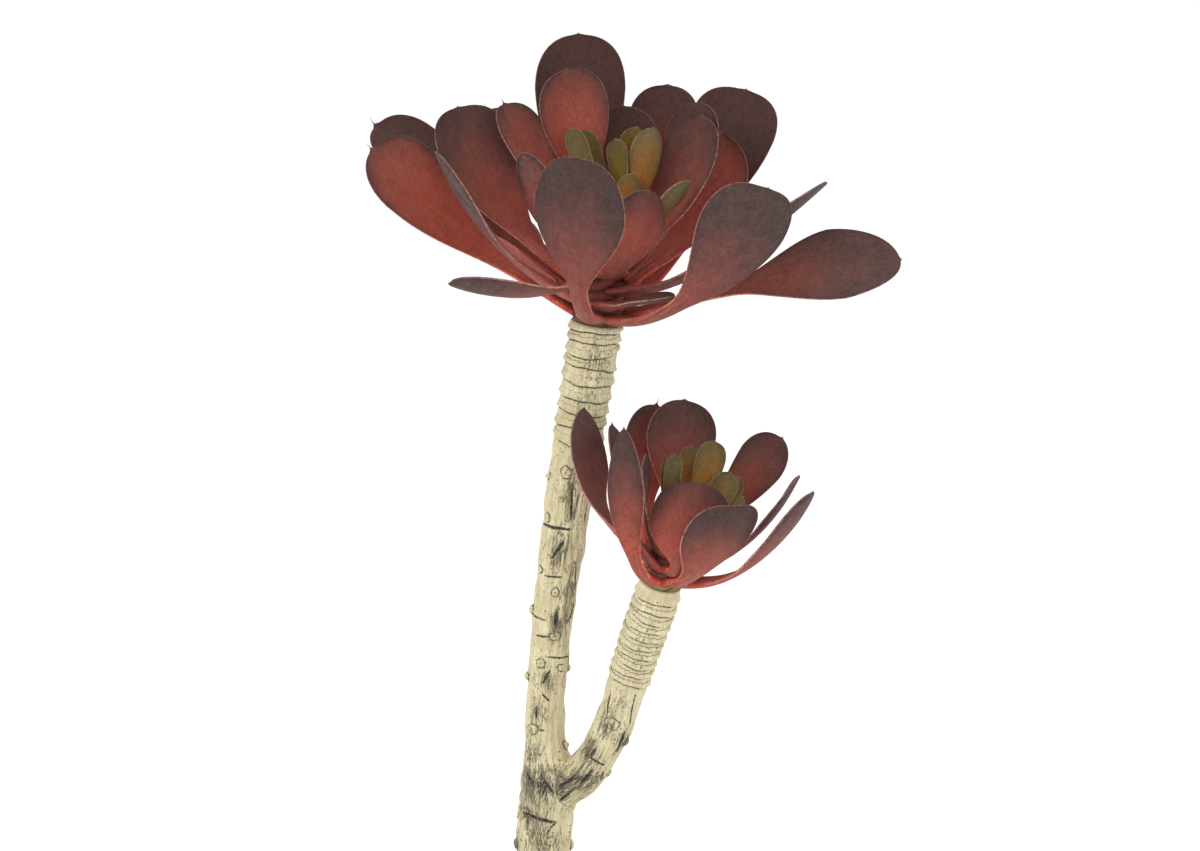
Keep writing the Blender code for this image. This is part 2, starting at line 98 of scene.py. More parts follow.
LARGE_LEAVES = (
    Leaf(4, 256, (60, 9), (-9, -68, 94.5), 47, 0.52, 0, Look(0.4, 0.55, 0.15, 0.8), 0.42, 2.6),
    Leaf(4, 313, (70, 12), (82, -58, 78), 46, 0.42, -35, Look(0.45, 0.6, 0.4, 0.8), 0.38, 2.9),
    Leaf(4, -2, (60, 27), (151, 8, 30), 46, 0.62, 38, Look(0.45, 0.6, 1.0, 0.8), 0.45, 2.0),
    Leaf(4, 42, (62, 30), (75.5, 60, 106.5), 45, 0.38, 30, Look(0.8, 0.85, 0.2, 0.8), 0.4, 2.6),
    Leaf(4, 84, (64, 8), (28, 118, 40), 44, 0.55, 0, Look(0.6, 0.4, 0.3, 0.8)),
    Leaf(4, 126, (65, 9), (-62, 108, 38), 44, 0.55, 0, Look(1, 0.1, 0.1, 0.8)),
    Leaf(4, 168, (68, 24), (-111, 12, 84.5), 44, 0.5, -40, Look(1, 0.0, 0.25, 3.5), 0.2, 2.3),
    Leaf(10, 285, (24, 14), (38, -35, 20), 22, 0.8, 25, Look(0.4, 0.6, 0.5, 0.8)),
    Leaf(32, 247, (48, 11), (-71, -43, 28.5), 30, 0.8, 2, Look(0.35, 0.5, 0.6, 0.8), 0.3, 2.2),
    Leaf(10, 188, (64, 27), (-78, -16.5, 88), 37.5, 0.7, 0, Look(0.4, 0.7, 1.4, 0.8), 0.25, 2.2),
    Leaf(13, 147, (70, 32), (-111, 50, 90), 43, 0.5, -20, Look(0.55, 0.95, 0.2, 5.0)),
    Leaf(10, 105, (58, 40), (-9, 59, 135), 46, 0.45, -20, Look(0.6, 0.65, 0.3, 0.8), 0.28, 2.5),
    Leaf(13, 62, (56, 37), (36, 60, 109), 38, 0.5, 0, Look(0.9, 0.5, 0.3, 0.8), 0.28, 2.5),
    Leaf(18, 330, (55, 26), (114, 20, 66), 40, 0.8, -15, Look(0.15, 0.8, 0.8, 0.8), 0.16, 2.1),
    Leaf(26, 290, (31, 36), (26, -26, 71), 36, 0.58, 0, Look(1, 0.05, 0.3, 0.8), 0.2, 2.3),
    Leaf(26, 196, (29, 44), (-36, -16, 88), 21, 1.25, 60, Look(0.8, 0.1, 0.9, 0.8), 0.0, 1.9),
    Leaf(17, 166, (56, 34), (-69, 30.5, 102.5), 43, 0.48, -40, Look(0.6, 0.5, 0.2, 0.8), 0.26, 2.6),
    Leaf(20, 126, (49, 46), (-55, 61, 96), 36, 0.5, 0, Look(0.95, 0.0, 1.2, 3.5)),
    # This leaf is made lighter than the rest by a darkness below zero and heavy bloom: painted back-lit light
    Leaf(18, 36, (50, 38), (62, 37, 88.5), 47, 0.45, 30, Look(1, -0.3, 1.2, 0.8), 0.14, 2.3),
    Leaf(24, 146, (39, 55), (-46, 37, 103), 32, 0.55, -10, Look(0.85, 0.1, 0.9, 3.0), 0.28, 2.5),
    Leaf(27, 78, (36, 52), (13, 38, 102), 36, 0.5, 0, Look(0.8, 0.7, 0.1, 0.8)),
    Leaf(24, 25, (40, 50), (52, 24, 106), 31, 0.55, 20, Look(0.3, 0.6, 0.6, 0.8)),
    Leaf(31, 126, (30, 68), (-15, 24, 122.5), 36, 0.5, -38, Look(0.85, 0.05, 0.3, 0.8), 0.28, 2.5),
    Leaf(32, 12, (36, 50), (52, 14, 101), 35, 0.5, 25, Look(0.3, 0.3, 0.5, 0.8), 0.2, 2.4),
)
SMALL_LEAVES = (
    Leaf(4, 238, (42, 11), (-18.5, -32, 86.5), 19, 1.1, 55, Look(1, 0.5, 0.15, 0.8), 0.36, 1.8),
    Leaf(5, 305, (32, 18), (35, -46, 51.5), 39, 0.42, 0, Look(0.7, 0.5, 0.2, 0.8), 0.14, 2.6),
    Leaf(4, 350, (46, 9), (73, -26, 53), 25, 0.75, -18, Look(0.6, 0.35, 0.8, 0.8), 0.28, 2.1),
    Leaf(4, 45, (37, 5), (30, 58, 22), 30, 0.6, 0, Look(0.6, 0.4, 0.3, 0.8)),
    Leaf(4, 110, (37, 5), (-14, 58, 28), 28, 0.6, 0, Look(0.6, 0.4, 0.3, 0.8)),
    Leaf(12, 180, (54, 26), (-38, 14, 85), 36, 0.85, 0, Look(0.35, 0.4, 1.3, 0.8), 0.28, 1.9),
    Leaf(10, 222, (33, 26), (-24, 8, 78), 20, 0.9, 0, Look(0.4, 0.7, 0.6, 2.5)),
    Leaf(11, 285, (31, 16), (15.5, -22, 57), 40, 0.36, 0, Look(1, 0.15, 0.1, 0.8), 0.28, 2.9),
    Leaf(10, 5, (42, 20), (68, 8, 52), 19, 0.8, -35, Look(0.4, 0.6, 0.7, 0.8), 0.28, 2.2),
    Leaf(12, 55, (42, 25), (60.5, 28, 66.5), 27, 0.5, 10, Look(0.65, 0.4, 0.4, 0.8)),
    Leaf(10, 125, (40, 27), (-2, 34, 82), 30, 0.55, 0, Look(0.9, 0.2, 0.4, 3.5)),
    Leaf(18, 100, (34, 38), (12, 28, 86), 36, 0.5, 0, Look(0.5, 0.55, 0.4, 0.8), 0.28, 2.5),
    Leaf(18, 205, (23, 36), (-8, -8, 67), 12, 0.8, 0, Look(0.3, 0.6, 0.6, 0.8), 0.28, 2.0),
)
LARGE_HEART = (
    Leaf(36, 170, (10, 63), (-12.5, 6, 96), 11, 0.7, -72, Look(0.1, 0.6, 0.3, 0.4), 0.2, 2.2),
    Leaf(36, 110, (10, 61), (-7, 12, 94), 12, 0.7, -50, Look(0.25, 0.35, 0.2, 0.4), 0.2, 2.2),
    Leaf(36, 20, (7, 60), (9.5, 2, 91.5), 11, 0.6, -80, Look(0.1, 0.25, 0.1, 0.4), 0.2, 2.4),
    Leaf(36, 60, (10, 63), (20, 10, 96), 16, 0.6, 30, Look(0.55, 0.15, 0.1, 0.4), 0.2, 2.3),
    Leaf(36, 350, (11, 63), (28, 2, 97), 17, 0.7, -80, Look(0.9, 0.3, 0.2, 0.4), 0.2, 2.2),
    Leaf(36, 290, (9, 53), (18, -8, 76), 13, 0.7, -40, Look(1, 0.1, 0.1, 0.4), 0.2, 2.2),
    Leaf(36, 330, (20, 50), (46, -6, 72), 12, 0.8, -40, Look(0.5, 0.6, 0.6, 0.4), 0.2, 2.0),
    Leaf(36, 220, (8, 54), (-2, -6, 80), 10, 0.6, 0, Look(0.3, 0.4, 0.3, 0.4)),
    Leaf(36, 260, (4, 49), (6, -6, 66), 9, 0.6, 0, Look(0.2, 0.3, 0.2, 0.4)),
)
SMALL_HEART = (
    Leaf(23, 170, (8, 42), (3, 0, 63), 8, 0.8, -40, Look(1, 0.1, 0.1, 0.4), 0.2, 2.0),
    Leaf(23, 200, (8, 41), (7, -4, 66.5), 9, 0.7, -60, Look(0.1, 0.8, 0.7, 0.4), 0.2, 2.3),
    Leaf(23, 90, (9, 44), (15, 7, 67.5), 12, 0.6, 0, Look(0.7, 0.3, 0.2, 0.4), 0.2, 2.4),
    Leaf(23, 40, (11, 44), (26, 4, 71), 15, 0.55, 25, Look(0.45, 0.3, 0.2, 0.4), 0.2, 2.5),
    Leaf(23, 350, (15, 41), (34, 0, 56), 14, 0.6, 45, Look(0.6, 0.5, 0.4, 0.4), 0.2, 2.3),
    Leaf(23, 10, (17, 39), (38, 6, 52), 11, 0.6, 45, Look(1, 0.2, 0.2, 0.4), 0.2, 2.3),
    Leaf(23, 310, (14, 37), (40, -4, 45), 10, 0.6, 45, Look(0.6, 0.4, 0.3, 0.4), 0.2, 2.3),
)# Ridges round a limb's neck: height at its front, and how much more it is at its left and right
TRUNK_RINGS = (
    Ring(391.4, 3.6, 3.0), Ring(401.7, -1.0, 1.0), Ring(407.9, 0.8, 0.5), Ring(415.0, 1.1, 0.8),
    Ring(422.8, 1.7, 1.3), Ring(432.1, 0.0, -1.6), Ring(436.7, 1.2, 4.6), Ring(445.0, -1.2, -0.1),
    Ring(450.1, -1.0, 0.5),
)
BRANCH_RINGS = (
    Ring(278, 0.6, -0.8), Ring(283, -0.4, 0.5), Ring(288, 0.3, -0.5), Ring(293, 0.5, 0.4),
    Ring(298, -0.5, 0.3), Ring(303, 0.4, -0.4), Ring(308, -0.3, 0.5), Ring(313, 0.5, 0.2),
    Ring(318, -0.4, -0.3), Ring(323, 0.3, 0.5),
)
# Leaf scars, as height, angle round the limb (the front is at -90), radius, and how far it stands out
TRUNK_SCARS = (
    (378, -107, 2.9, 0.9), (373, -165, 1.8, 1.5), (364, -110, 1.2, 0.4), (353, -145, 2.2, 1.2),
    (325.5, -153, 2.1, 0.8), (316, -93, 2.1, 0.3), (303, 178, 2.4, 1.7), (293.2, -79, 2.6, 0.7),
    (278, -115, 2.4, 0.3), (276, -48, 2.0, 0.9), (274, 2, 2.2, 1.5), (268, 178, 2.6, 2.0),
    (243, -129, 2.8, 0.8), (232, -14, 2.4, 1.8), (231, -139, 1.3, 0.4), (198, -142, 2.6, 1.2),
    (185, -76, 2.3, 0.5), (178, 178, 2.8, 1.7), (179, 0, 2.6, 1.6), (150, -110, 2.6, 0.8),
    (134, -60, 2.4, 0.8), (364, 60, 2.4, 1.0), (340, 110, 2.6, 1.2), (318, 45, 2.4, 1.2),
    (296, 90, 2.6, 0.9), (268, 70, 2.4, 1.1), (250, 120, 2.2, 0.8), (192, 80, 2.6, 1.2),
    (160, 100, 2.4, 0.9),
)
BRANCH_SCARS = (
    (255.8, -105, 3.3, 1.2), (236, -131, 2.6, 1.0), (246, -30, 2.2, 1.5), (225, -63, 2.3, 0.9),
    (227, -15, 2.2, 1.5), (268, 90, 2.4, 1.1), (246, 120, 2.3, 0.9),
)
# Dark cracks, as height and angle of the two ends, and width
TRUNK_CRACKS = (
    (348.7, -165, 349.7, -71, 1.5), (343, -88, 333.6, -113, 1.8), (323.5, -129, 324.5, -78, 0.7),
    (301.3, 179, 300.8, -110, 0.8), (306, -80, 298.8, -82, 2.0), (291.7, -144, 292.7, -94, 0.8),
    (282, -97, 281, -5, 0.8), (274.6, -85, 268, -103, 1.6), (262.5, -104, 258.5, -77, 0.9),
    (242.8, -110, 242.8, -88, 0.8), (371, -86, 355, -78, 1.2), (198, -141, 195.5, -69, 1.7),
    (192.4, -78, 189, -84, 0.8), (192.4, -78, 195, -70, 0.8), (220, -105, 211, -77, 1.6),
    (221, -149, 213, -120, 1.4), (217, -92, 209, -100, 1.2), (362, -35, 352, -28, 1.8),
    (330, -40, 318, -30, 0.9), (310, -25, 300, -38, 0.9), (255, -120, 249, -118, 0.9),
    (340, 80, 338, 140, 1.0), (316, 20, 315, 75, 1.0), (285, 60, 283, 120, 1.2),
    (262, 95, 250, 88, 1.3), (200, 60, 198, 110, 1.4), (170, -120, 168, -60, 1.2),
    (150, -90, 140, -84, 1.2), (176, 120, 160, 130, 1.1),
)
BRANCH_CRACKS = (
    (234.5, -131, 233.5, -70, 1.1), (228.6, -93, 220.4, -96, 2.0), (273.5, -62, 257.6, -51, 0.9),
    (252.9, -56, 241, -50, 1.5), (213.9, -129, 221.5, -125, 2.0), (217.6, -98, 210.4, -89, 1.2),
    (271, -140, 260, -128, 1.0), (230, -60, 223, -45, 0.9), (260, 60, 246, 66, 1.2),
    (238, 90, 236, 150, 1.0), (255, 110, 250, 160, 1.1),
)
# Aged patches, as height, angle, half height, half width round the limb, and strength
TRUNK_STAINS = (
    (437, -75, 14, 7, 0.6), (415, -85, 10, 6, 0.5), (402, -60, 8, 6, 0.35), (365, -80, 14, 6, 0.6),
    (338, -95, 10, 6, 0.8), (315, -50, 26, 5, 0.75), (300, -78, 9, 5, 0.7), (269, -95, 7, 6, 0.6),
    (252, -112, 10, 6, 0.5), (231, -135, 10, 7, 0.6), (214, -110, 12, 14, 1.0), (196, -125, 8, 10, 0.8),
    (183, -95, 14, 12, 0.55), (178, 175, 8, 6, 0.9), (160, -90, 16, 12, 0.5), (135, -70, 14, 14, 0.6),
    (345, 90, 20, 9, 0.5), (290, 110, 25, 9, 0.5), (240, 80, 18, 8, 0.5), (205, 100, 14, 12, 0.7),
    (150, 120, 25, 14, 0.5), (275, 0, 12, 4, 0.6), (430, 100, 16, 8, 0.4),
)
BRANCH_STAINS = (
    (255, -120, 9, 7, 0.8), (236, -128, 8, 7, 1.0), (222, -100, 9, 9, 0.95), (213, -125, 8, 9, 1.0),
    (246, -45, 9, 5, 0.8), (228, -22, 6, 5, 0.7), (268, -95, 8, 4, 0.45), (300, -90, 20, 5, 0.3),
    (250, 100, 14, 8, 0.5), (222, 120, 12, 8, 0.7),
)

# The heads stand on their limbs' ends and lean the way that the limbs do
LARGE = Head("large", TRUNK, 12.2, 7.5, 38, 9.0)
SMALL = Head("small", BRANCH, 9.6, 5.5, 24, 6.5)
CROWN_DOME = 3.0
CROWN_FOLD = 1.9
GROOVE_DEPTH = 0.4
CROWN_LIFT = 0.1
HEART_NECK = 5.0
HEART_FOOT = 2.5
LEAF_CUP = 0.22
HEART_CUP = 0.3
FOOT_THICKNESS = 3.4
RIB_THICKNESS = 2.0
TIP_THICKNESS = 1.5
RIM_THICKNESS = 0.9
SUNK = 2.2
NECK_SPREAD = 0.55
FOOT_SPREAD = 0.9
NECK_FLESH = 0.7


def smoothstep(low, high, value):
    t = min(1.0, max(0.0, (value - low) / (high - low)))
    return t * t * (3 - 2 * t)


def ramp(low, high, values):
    """The same smooth step for an array."""
    t = np.clip((values - low) / (high - low), 0, 1)
    return t * t * (3 - 2 * t)


def add_piece(name, points, faces, finishes, marks=None, shares=None):
    """A smooth mesh from points in millimetres. Marks are named values at its points."""
    mesh = bpy.data.meshes.new(name)
    mesh.from_pydata([tuple(point) for point in np.asarray(points, float) * MM], [], faces)
    for finish in finishes:
        mesh.materials.append(finish)
    if shares is not None:
        mesh.polygons.foreach_set("material_index", shares)
    for key, values in (marks or {}).items():
        data = mesh.attributes.new(key, "FLOAT_VECTOR", "POINT").data
        data.foreach_set("vector", np.asarray(values, np.float32).ravel())
    mesh.shade_smooth()
    piece = bpy.data.objects.new(name, mesh)
    bpy.context.scene.collection.objects.link(piece)
    return piece


def settle(piece, node):
    """The piece rides on the plant in place of its node, whose imported part is hidden."""
    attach(piece, "root")
    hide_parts(node)


def ring_faces(rows, sides, first=0, poles=True):
    """Quads between rings of points, with a pole before the first ring and one after the last."""
    start = first + 1 if poles else first
    faces = []
    for i in range(rows - 1):
        low = start + i * sides
        for j in range(sides):
            k = (j + 1) % sides
            faces.append((low + j, low + k, low + sides + k, low + sides + j))
    if poles:
        last = start + rows * sides
        for j in range(sides):
            k = (j + 1) % sides
            faces.append((first, start + k, start + j))
            faces.append((last - sides + j, last - sides + k, last))
    return faces


# ---------------------------------------------------------------- leaves


def along(stations, z):
    """Centre and radius of a limb at a height, on a smooth curve through its stations."""
    k = 0
    while k < len(stations) - 2 and stations[k + 1].z <= z:
        k += 1
    a, b = stations[k], stations[k + 1]
    before = stations[max(k - 1, 0)]
    after = stations[min(k + 2, len(stations) - 1)]
    span = b.z - a.z
    t = (z - a.z) / span
    values = []
    for name in ("x", "y", "radius"):
        p, q = getattr(a, name), getattr(b, name)
        slope_p = (q - getattr(before, name)) / (b.z - before.z) * span
        slope_q = (getattr(after, name) - p) / (after.z - a.z) * span
        values.append(
            (2 * t**3 - 3 * t**2 + 1) * p
            + (t**3 - 2 * t**2 + t) * slope_p
            + (3 * t**2 - 2 * t**3) * q
            + (t**3 - t**2) * slope_q
        )
    return Vector((values[0], values[1], z)), values[2]


def heading(stations, z):
    ahead = along(stations, min(z + 1, stations[-1].z))[0]
    behind = along(stations, max(z - 1, stations[0].z))[0]
    return (ahead - behind).normalized()


def crown_radius(head, height):
    return head.radius + (head.top_radius - head.radius) * smoothstep(0, head.height, height)


def head_place(head):
    """A head's base and the turn from upright to its axis."""
    end = head.limb[-1]
    turn = Vector((0, 0, 1)).rotation_difference(heading(head.limb, end.z))
    return Vector((end.x, end.y, end.z)), turn


def blade_width(t, leaf, neck, length):
    """Width of a leaf at t, from 0 at its seat to 1 at its tip."""
    widest = 1 - leaf.cap * leaf.width / length
    if t > widest:
        past = (t - widest) / (1 - widest)
        return leaf.width * max(0.0, 1 - past**leaf.square) ** (1 / leaf.square)
    return neck + (leaf.width - neck) * smoothstep(leaf.waist, widest + 0.03, t)


def leaf_spine(leaf, head, start):
    """The control points of a leaf's rib, and the ways out from the crown at its two ends."""
    base, turn = head_place(head)
    bearing = radians(leaf.turn)
    outward = turn @ Vector((cos(bearing), sin(bearing), 0))
    up = turn @ Vector((0, 0, 1))
    seat = base + up * leaf.seat + outward * start
    knee = base + up * leaf.knee[1] + outward * leaf.knee[0]
    tip = base + Vector(leaf.tip)
    away = (tip - base) - up * up.dot(tip - base)
    return (seat, knee, tip), (outward, away.normalized(), up)


def leaf_section(leaf, spine, ways, t):
    """Place, side, inner normal and onward direction of a leaf's cross-section at t."""
    seat, knee, tip = spine
    outward, away, up = ways
    place = seat * (1 - t) ** 2 + knee * 2 * t * (1 - t) + tip * t * t
    ahead = ((knee - seat) * (1 - t) + (tip - knee) * t).normalized()
    lean = up - outward.lerp(away, t).normalized()
    normal = (lean - ahead * lean.dot(ahead)).normalized()
    normal = Matrix.Rotation(radians(leaf.roll) * smoothstep(0.05, 0.6, t), 3, ahead) @ normal
    return place, ahead.cross(normal), normal, ahead


def half_thickness(t, u, neck):
    rib = FOOT_THICKNESS + (RIB_THICKNESS - FOOT_THICKNESS) * smoothstep(0.1, 0.7, t)
    rib += (TIP_THICKNESS - RIB_THICKNESS) * smoothstep(0.8, 1.0, t)
    rib *= min(1.0, neck / SMALL.neck)
    return (RIM_THICKNESS + (rib - RIM_THICKNESS) * (1 - u * u)) / 2


def blade(leaf, head, neck, start, cup, rows, sides, seed):
    """Points, faces and marks of one leaf: a closed skin round its rib, ending in a small thorn."""
    spine, ways = leaf_spine(leaf, head, start)
    length = (spine[2] - spine[0]).length
    rim = RIM_THICKNESS / 2
    points, skin, place_on, face = [], [], [], []

    def ring(t, half, thin, centre, side, normal, wave):
        for j in range(sides):
            turn = 2 * pi * j / sides
            u, out = cos(turn), sin(turn)
            tight = max(0.0, abs(u) * half - (half - rim)) / rim
            lift = half_thickness(t, u, neck) * thin * sqrt(max(0.0, 1 - tight * tight))
            channel = cup * half * u * u * (0.35 + 0.65 * smoothstep(0.2, 0.7, t)) * wave
            ripple = 0.5 * sin(6.1 * t + 2.3 * seed + 1.4 * u) * u * u * smoothstep(0.25, 0.7, t) * wave
            ripple += 0.22 * sin(15.0 * t + seed + 5 * u) * abs(u) * smoothstep(0.3, 0.6, t) * wave
            shift = channel + ripple + (lift if out > 0 else -lift)
            uneven = 1 + (0.010 * sin(9 * t + seed * 3.1 + 2 * u) + 0.006 * sin(23 * t + seed)) * wave
            points.append(centre + side * (u * half * uneven) + normal * shift)
            skin.append((u * half, t * length, half * (1 - abs(u))))
            place_on.append((u, t, 0.5 + 0.5 * max(-1.0, min(1.0, 4 * out))))

    # Leaves that stay narrow for long have slender necks, and the others broad ones
    spread = NECK_SPREAD * smoothstep(0.45, 0.3, leaf.waist)
    for i in range(rows):
        t = sin(pi / 2 * (i / rows) ** 0.9)
        centre, side, normal, ahead = leaf_section(leaf, spine, ways, t)
        half = blade_width(t, leaf, neck, length) / 2
        half *= 1 + spread * smoothstep(0.45, 0.1, t) + FOOT_SPREAD * smoothstep(0.16, 0.0, t)
        fleshy = 1 + NECK_FLESH * smoothstep(0.5, 0.08, t)
        ring(t, half, fleshy, centre, side, normal, 1.0)
    centre, side, normal, ahead = leaf_section(leaf, spine, ways, 1.0)
    thorn = leaf.look.thorn
    thorn_rings = ((0.2, 0.42, 0.7), (0.5, 0.2, 0.35), (0.8, 0.14, 0.25), (1.0, 0.08, 0.15))
    for share, half, thin in thorn_rings:
        reach = 0.35 + share * thorn
        hook = normal * (0.05 * (share * thorn) ** 2) + side * (0.03 * sin(seed * 5) * (share * thorn) ** 2)
        ring(1.0, half, thin, centre + ahead * reach + hook, side, normal, 0.0)
    rings = rows + len(thorn_rings)
    seat = spine[0] - (spine[1] - spine[0]).normalized() * 0.4
    apex = centre + ahead * (0.5 + thorn) + normal * (0.05 * thorn**2)
    ends = [(seat, (0, 0, neck / 2), (0, 0, 0.5)), (apex, (0, length, 0), (0, 1, 0.5))]
    points = [ends[0][0]] + points + [ends[1][0]]
    skin = [ends[0][1]] + skin + [ends[1][1]]
    place_on = [ends[0][2]] + place_on + [ends[1][2]]
    mood = [(leaf.look.red, leaf.look.dark, seed)] * len(points)
    faces = [tuple(reversed(f)) for f in ring_faces(rings, sides)]
    marks = {
        "skin": skin,
        "blade": place_on,
        "mood": mood,
        "bloom": [(leaf.look.bloom, leaf.look.thorn, 0)] * len(points),
    }
    return points, faces, marks


def leaf_start(head, leaf, neck):
    """How far out a leaf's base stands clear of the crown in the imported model."""
    half = half_thickness(0, 0, neck)
    rise = atan2(leaf.knee[1] - leaf.seat, leaf.knee[0] - crown_radius(head, leaf.seat))
    above = crown_radius(head, leaf.seat + half * cos(rise)) + half * sin(rise)
    below = crown_radius(head, leaf.seat - half * cos(rise)) - half * sin(rise)
    return max(above, below) + GAP


def dress_leaves(head, table, finish):
    for number, leaf in enumerate(table, 1):
        start = leaf_start(head, leaf, head.neck) - SUNK
        seed = number * 0.73 + (5.0 if head is SMALL else 0.0)
        points, faces, marks = blade(leaf, head, head.neck, start, LEAF_CUP, 44, 36, seed)
        node = f"{head.name}_leaf_{number:02d}"
        piece = add_piece(f"{node}_blade", points, faces, [finish], marks)
        settle(piece, node)


def dress_heart(head, table, crown_finish, young_finish):
    """The crown with the young leaves that stand in the middle of the head."""
    base, turn = head_place(head)
    sides, rows = 72, 44
    top = head.height + CROWN_DOME
    up = turn @ Vector((0, 0, 1))
    points, folds = [base + up * CROWN_LIFT], [1.0]
    for i in range(rows):
        height = CROWN_LIFT + (head.height - CROWN_LIFT) * i / (rows - 1)
        radius = crown_radius(head, height)
        for j in range(sides):
            angle = 2 * pi * j / sides
            fold = abs(sin(0.5 * height - 2 * angle + 0.3 * sin(3 * angle))) ** 0.6
            folds.append(fold)
            bulge = (CROWN_FOLD * fold - 0.6 + 0.2 * sin(17 * angle + 1)) * smoothstep(0, 4, height)
            reach = radius + bulge - 0.25
            points.append(base + turn @ Vector((reach * cos(angle), reach * sin(angle), height)))
    points.append(base + turn @ Vector((0, 0, top)))
    folds.append(1.0)
    faces = ring_faces(rows, sides)
    marks = {key: [(0, 0, 0.5)] * len(points) for key in ("skin", "mood", "bloom")}
    marks["blade"] = [(fold, up.dot(point - base) / top, 0.5) for fold, point in zip(folds, points)]
    shares = [0] * len(faces)
    for number, leaf in enumerate(table, 1):
        seed = number * 1.31 + (3.0 if head is SMALL else 0.0)
        made = blade(leaf, head, HEART_NECK, HEART_FOOT, HEART_CUP, 26, 24, seed)
        faces += [tuple(k + len(points) for k in face) for face in made[1]]
        shares += [1] * len(made[1])
        points += made[0]
        for key in marks:
            marks[key] = marks[key] + made[2][key]
    node = f"{head.name}_heart"
    piece = add_piece(f"{node}_rosette", points, faces, [crown_finish, young_finish], marks, shares)
    settle(piece, node)


# ---------------------------------------------------------------- stem


def rod(stations):
    """A limb's centre line as arrays, with the directions that its angles are measured in."""
    heights = np.linspace(stations[0].z, stations[-1].z, 240)
    centres, heads, rights, backs, radii = [], [], [], [], []
    for z in heights:
        centre, radius = along(stations, z)
        ahead = heading(stations, z)
        turn = Vector((0, 0, 1)).rotation_difference(ahead)
        centres.append(centre)
        heads.append(ahead)
        rights.append(turn @ Vector((1, 0, 0)))
        backs.append(turn @ Vector((0, 1, 0)))
        radii.append(radius)
    return Rod(heights, *(np.array(values) for values in (centres, heads, rights, backs, radii)))


def limb_place(points, line):
    """Height along a limb, and the offset from its centre line, of each point."""
    nearest = np.concatenate(
        [
            ((line.centres**2).sum(1) - 2 * part @ line.centres.T).argmin(1)
            for part in np.array_split(points, max(1, len(points) // 20000))
        ]
    )
    offset = points - line.centres[nearest]
    rise = (offset * line.heads[nearest]).sum(1)
    heights = line.heights[nearest] + rise * line.heads[nearest, 2]
    right = (offset * line.rights[nearest]).sum(1)
    back = (offset * line.backs[nearest]).sum(1)
    return heights, right, back, np.interp(heights, line.heights, line.radii), nearest


def tube(name, stations, sides, spacing, below=0.0):
    """A plain closed limb."""
    low, high = stations[0].z - below, stations[-1].z
    count = int((high - low) / spacing)
    points, first = [], along(stations, stations[0].z)[0]
    rows = [low + (high - low) * k / count for k in range(count + 1)]
    for z in rows:
        centre, radius = along(stations, max(z, stations[0].z))
        turn = Vector((0, 0, 1)).rotation_difference(heading(stations, max(z, stations[0].z)))
        for j in range(sides):
            angle = 2 * pi * j / sides
            points.append(centre + turn @ Vector((radius * cos(angle), radius * sin(angle), 0)))
    points = [first] + points + [along(stations, high)[0]]
    return add_piece(name, points, ring_faces(len(rows), sides), [])


def remeshed(obj, voxel, name):
    """The object's outer skin as one even mesh."""
    modifier = obj.modifiers.new("skin", "REMESH")
    modifier.mode = "VOXEL"
    modifier.voxel_size = voxel * MM
    graph = bpy.context.evaluated_depsgraph_get()
    mesh = bpy.data.meshes.new_from_object(obj.evaluated_get(graph))
    mesh.name = name
    bpy.data.objects.remove(obj)
    return mesh


def coordinates(mesh):
    values = np.empty(len(mesh.vertices) * 3, np.float32)
    mesh.vertices.foreach_get("co", values)
    return values.reshape(-1, 3).astype(float) / MM


def normals(mesh):
    values = np.empty(len(mesh.vertices) * 3, np.float32)
    mesh.vertex_normals.foreach_get("vector", values)
    return values.reshape(-1, 3).astype(float)


def place_vertices(mesh, points):
    mesh.vertices.foreach_set("co", np.ascontiguousarray(points * MM, np.float32).ravel())
    mesh.update()


def wrapped(angle):
    return (angle + pi) % (2 * pi) - pi


def nearest_ring(height, angle, rings):
    """Signed distance to the nearest ridge round a neck, as it waves round the limb."""
    best = np.full(len(height), 99.0)
    for k, ring in enumerate(rings):
        aside = np.cos(angle)
        wave = (ring.left + ring.right) / 2 * aside**2 + (ring.right - ring.left) / 2 * aside
        wave += 0.3 * np.sin(3 * angle + 0.7 * k * k) + 0.16 * np.sin(8 * angle + 2.0 * k)
        wave += 0.07 * np.sin(21 * angle + 3.1 * k)
        gap = height - ring.height - wave
        best = np.where(np.abs(gap) < np.abs(best), gap, best)
    return best


def nearest_scar(height, angle, radius, scars):
    """Distance to the nearest leaf scar, in the scar's own radii, and how far that scar stands out."""
    best, proud = np.full(len(height), 9.0), np.zeros(len(height))
    for scar_height, scar_angle, size, lift in scars:
        across = wrapped(angle - radians(scar_angle)) * radius
        along_way = (height - scar_height) * 1.08
        way = np.arctan2(along_way, across)
        gap = np.hypot(across, along_way) / size
        gap *= 1 + 0.10 * np.sin(2 * way + scar_height) + 0.07 * np.sin(5 * way + 2 * scar_height)
        proud = np.where(gap < best, lift, proud)
        best = np.minimum(best, gap)
    return best, proud


def nearest_crack(height, angle, radius, cracks):
    """Distance to the edge of the nearest crack, negative inside it."""
    best = np.full(len(height), 9.0)
    for z1, a1, z2, a2, width in cracks:
        x = wrapped(angle - radians(a1)) * radius
        span = wrapped(radians(a2 - a1)) * radius
        rise = z2 - z1
        share = np.clip((x * span + (height - z1) * rise) / (span**2 + rise**2 + 1e-9), 0, 1)
        gap = np.hypot(x - share * span, height - z1 - share * rise)
        best = np.minimum(best, gap - width * 0.5 * (1 - 0.6 * np.abs(2 * share - 1) ** 2))
    return best


def stained(height, angle, radius, stains):
    """How strongly the bark is aged at a place, from 0 to 1."""
    total = np.zeros(len(height))
    for stain_height, stain_angle, tall, wide, strength in stains:
        across = wrapped(angle - radians(stain_angle)) * radius
        total = np.maximum(
            total, strength * np.exp(-((height - stain_height) / tall) ** 2 - (across / wide) ** 2)
        )
    return total


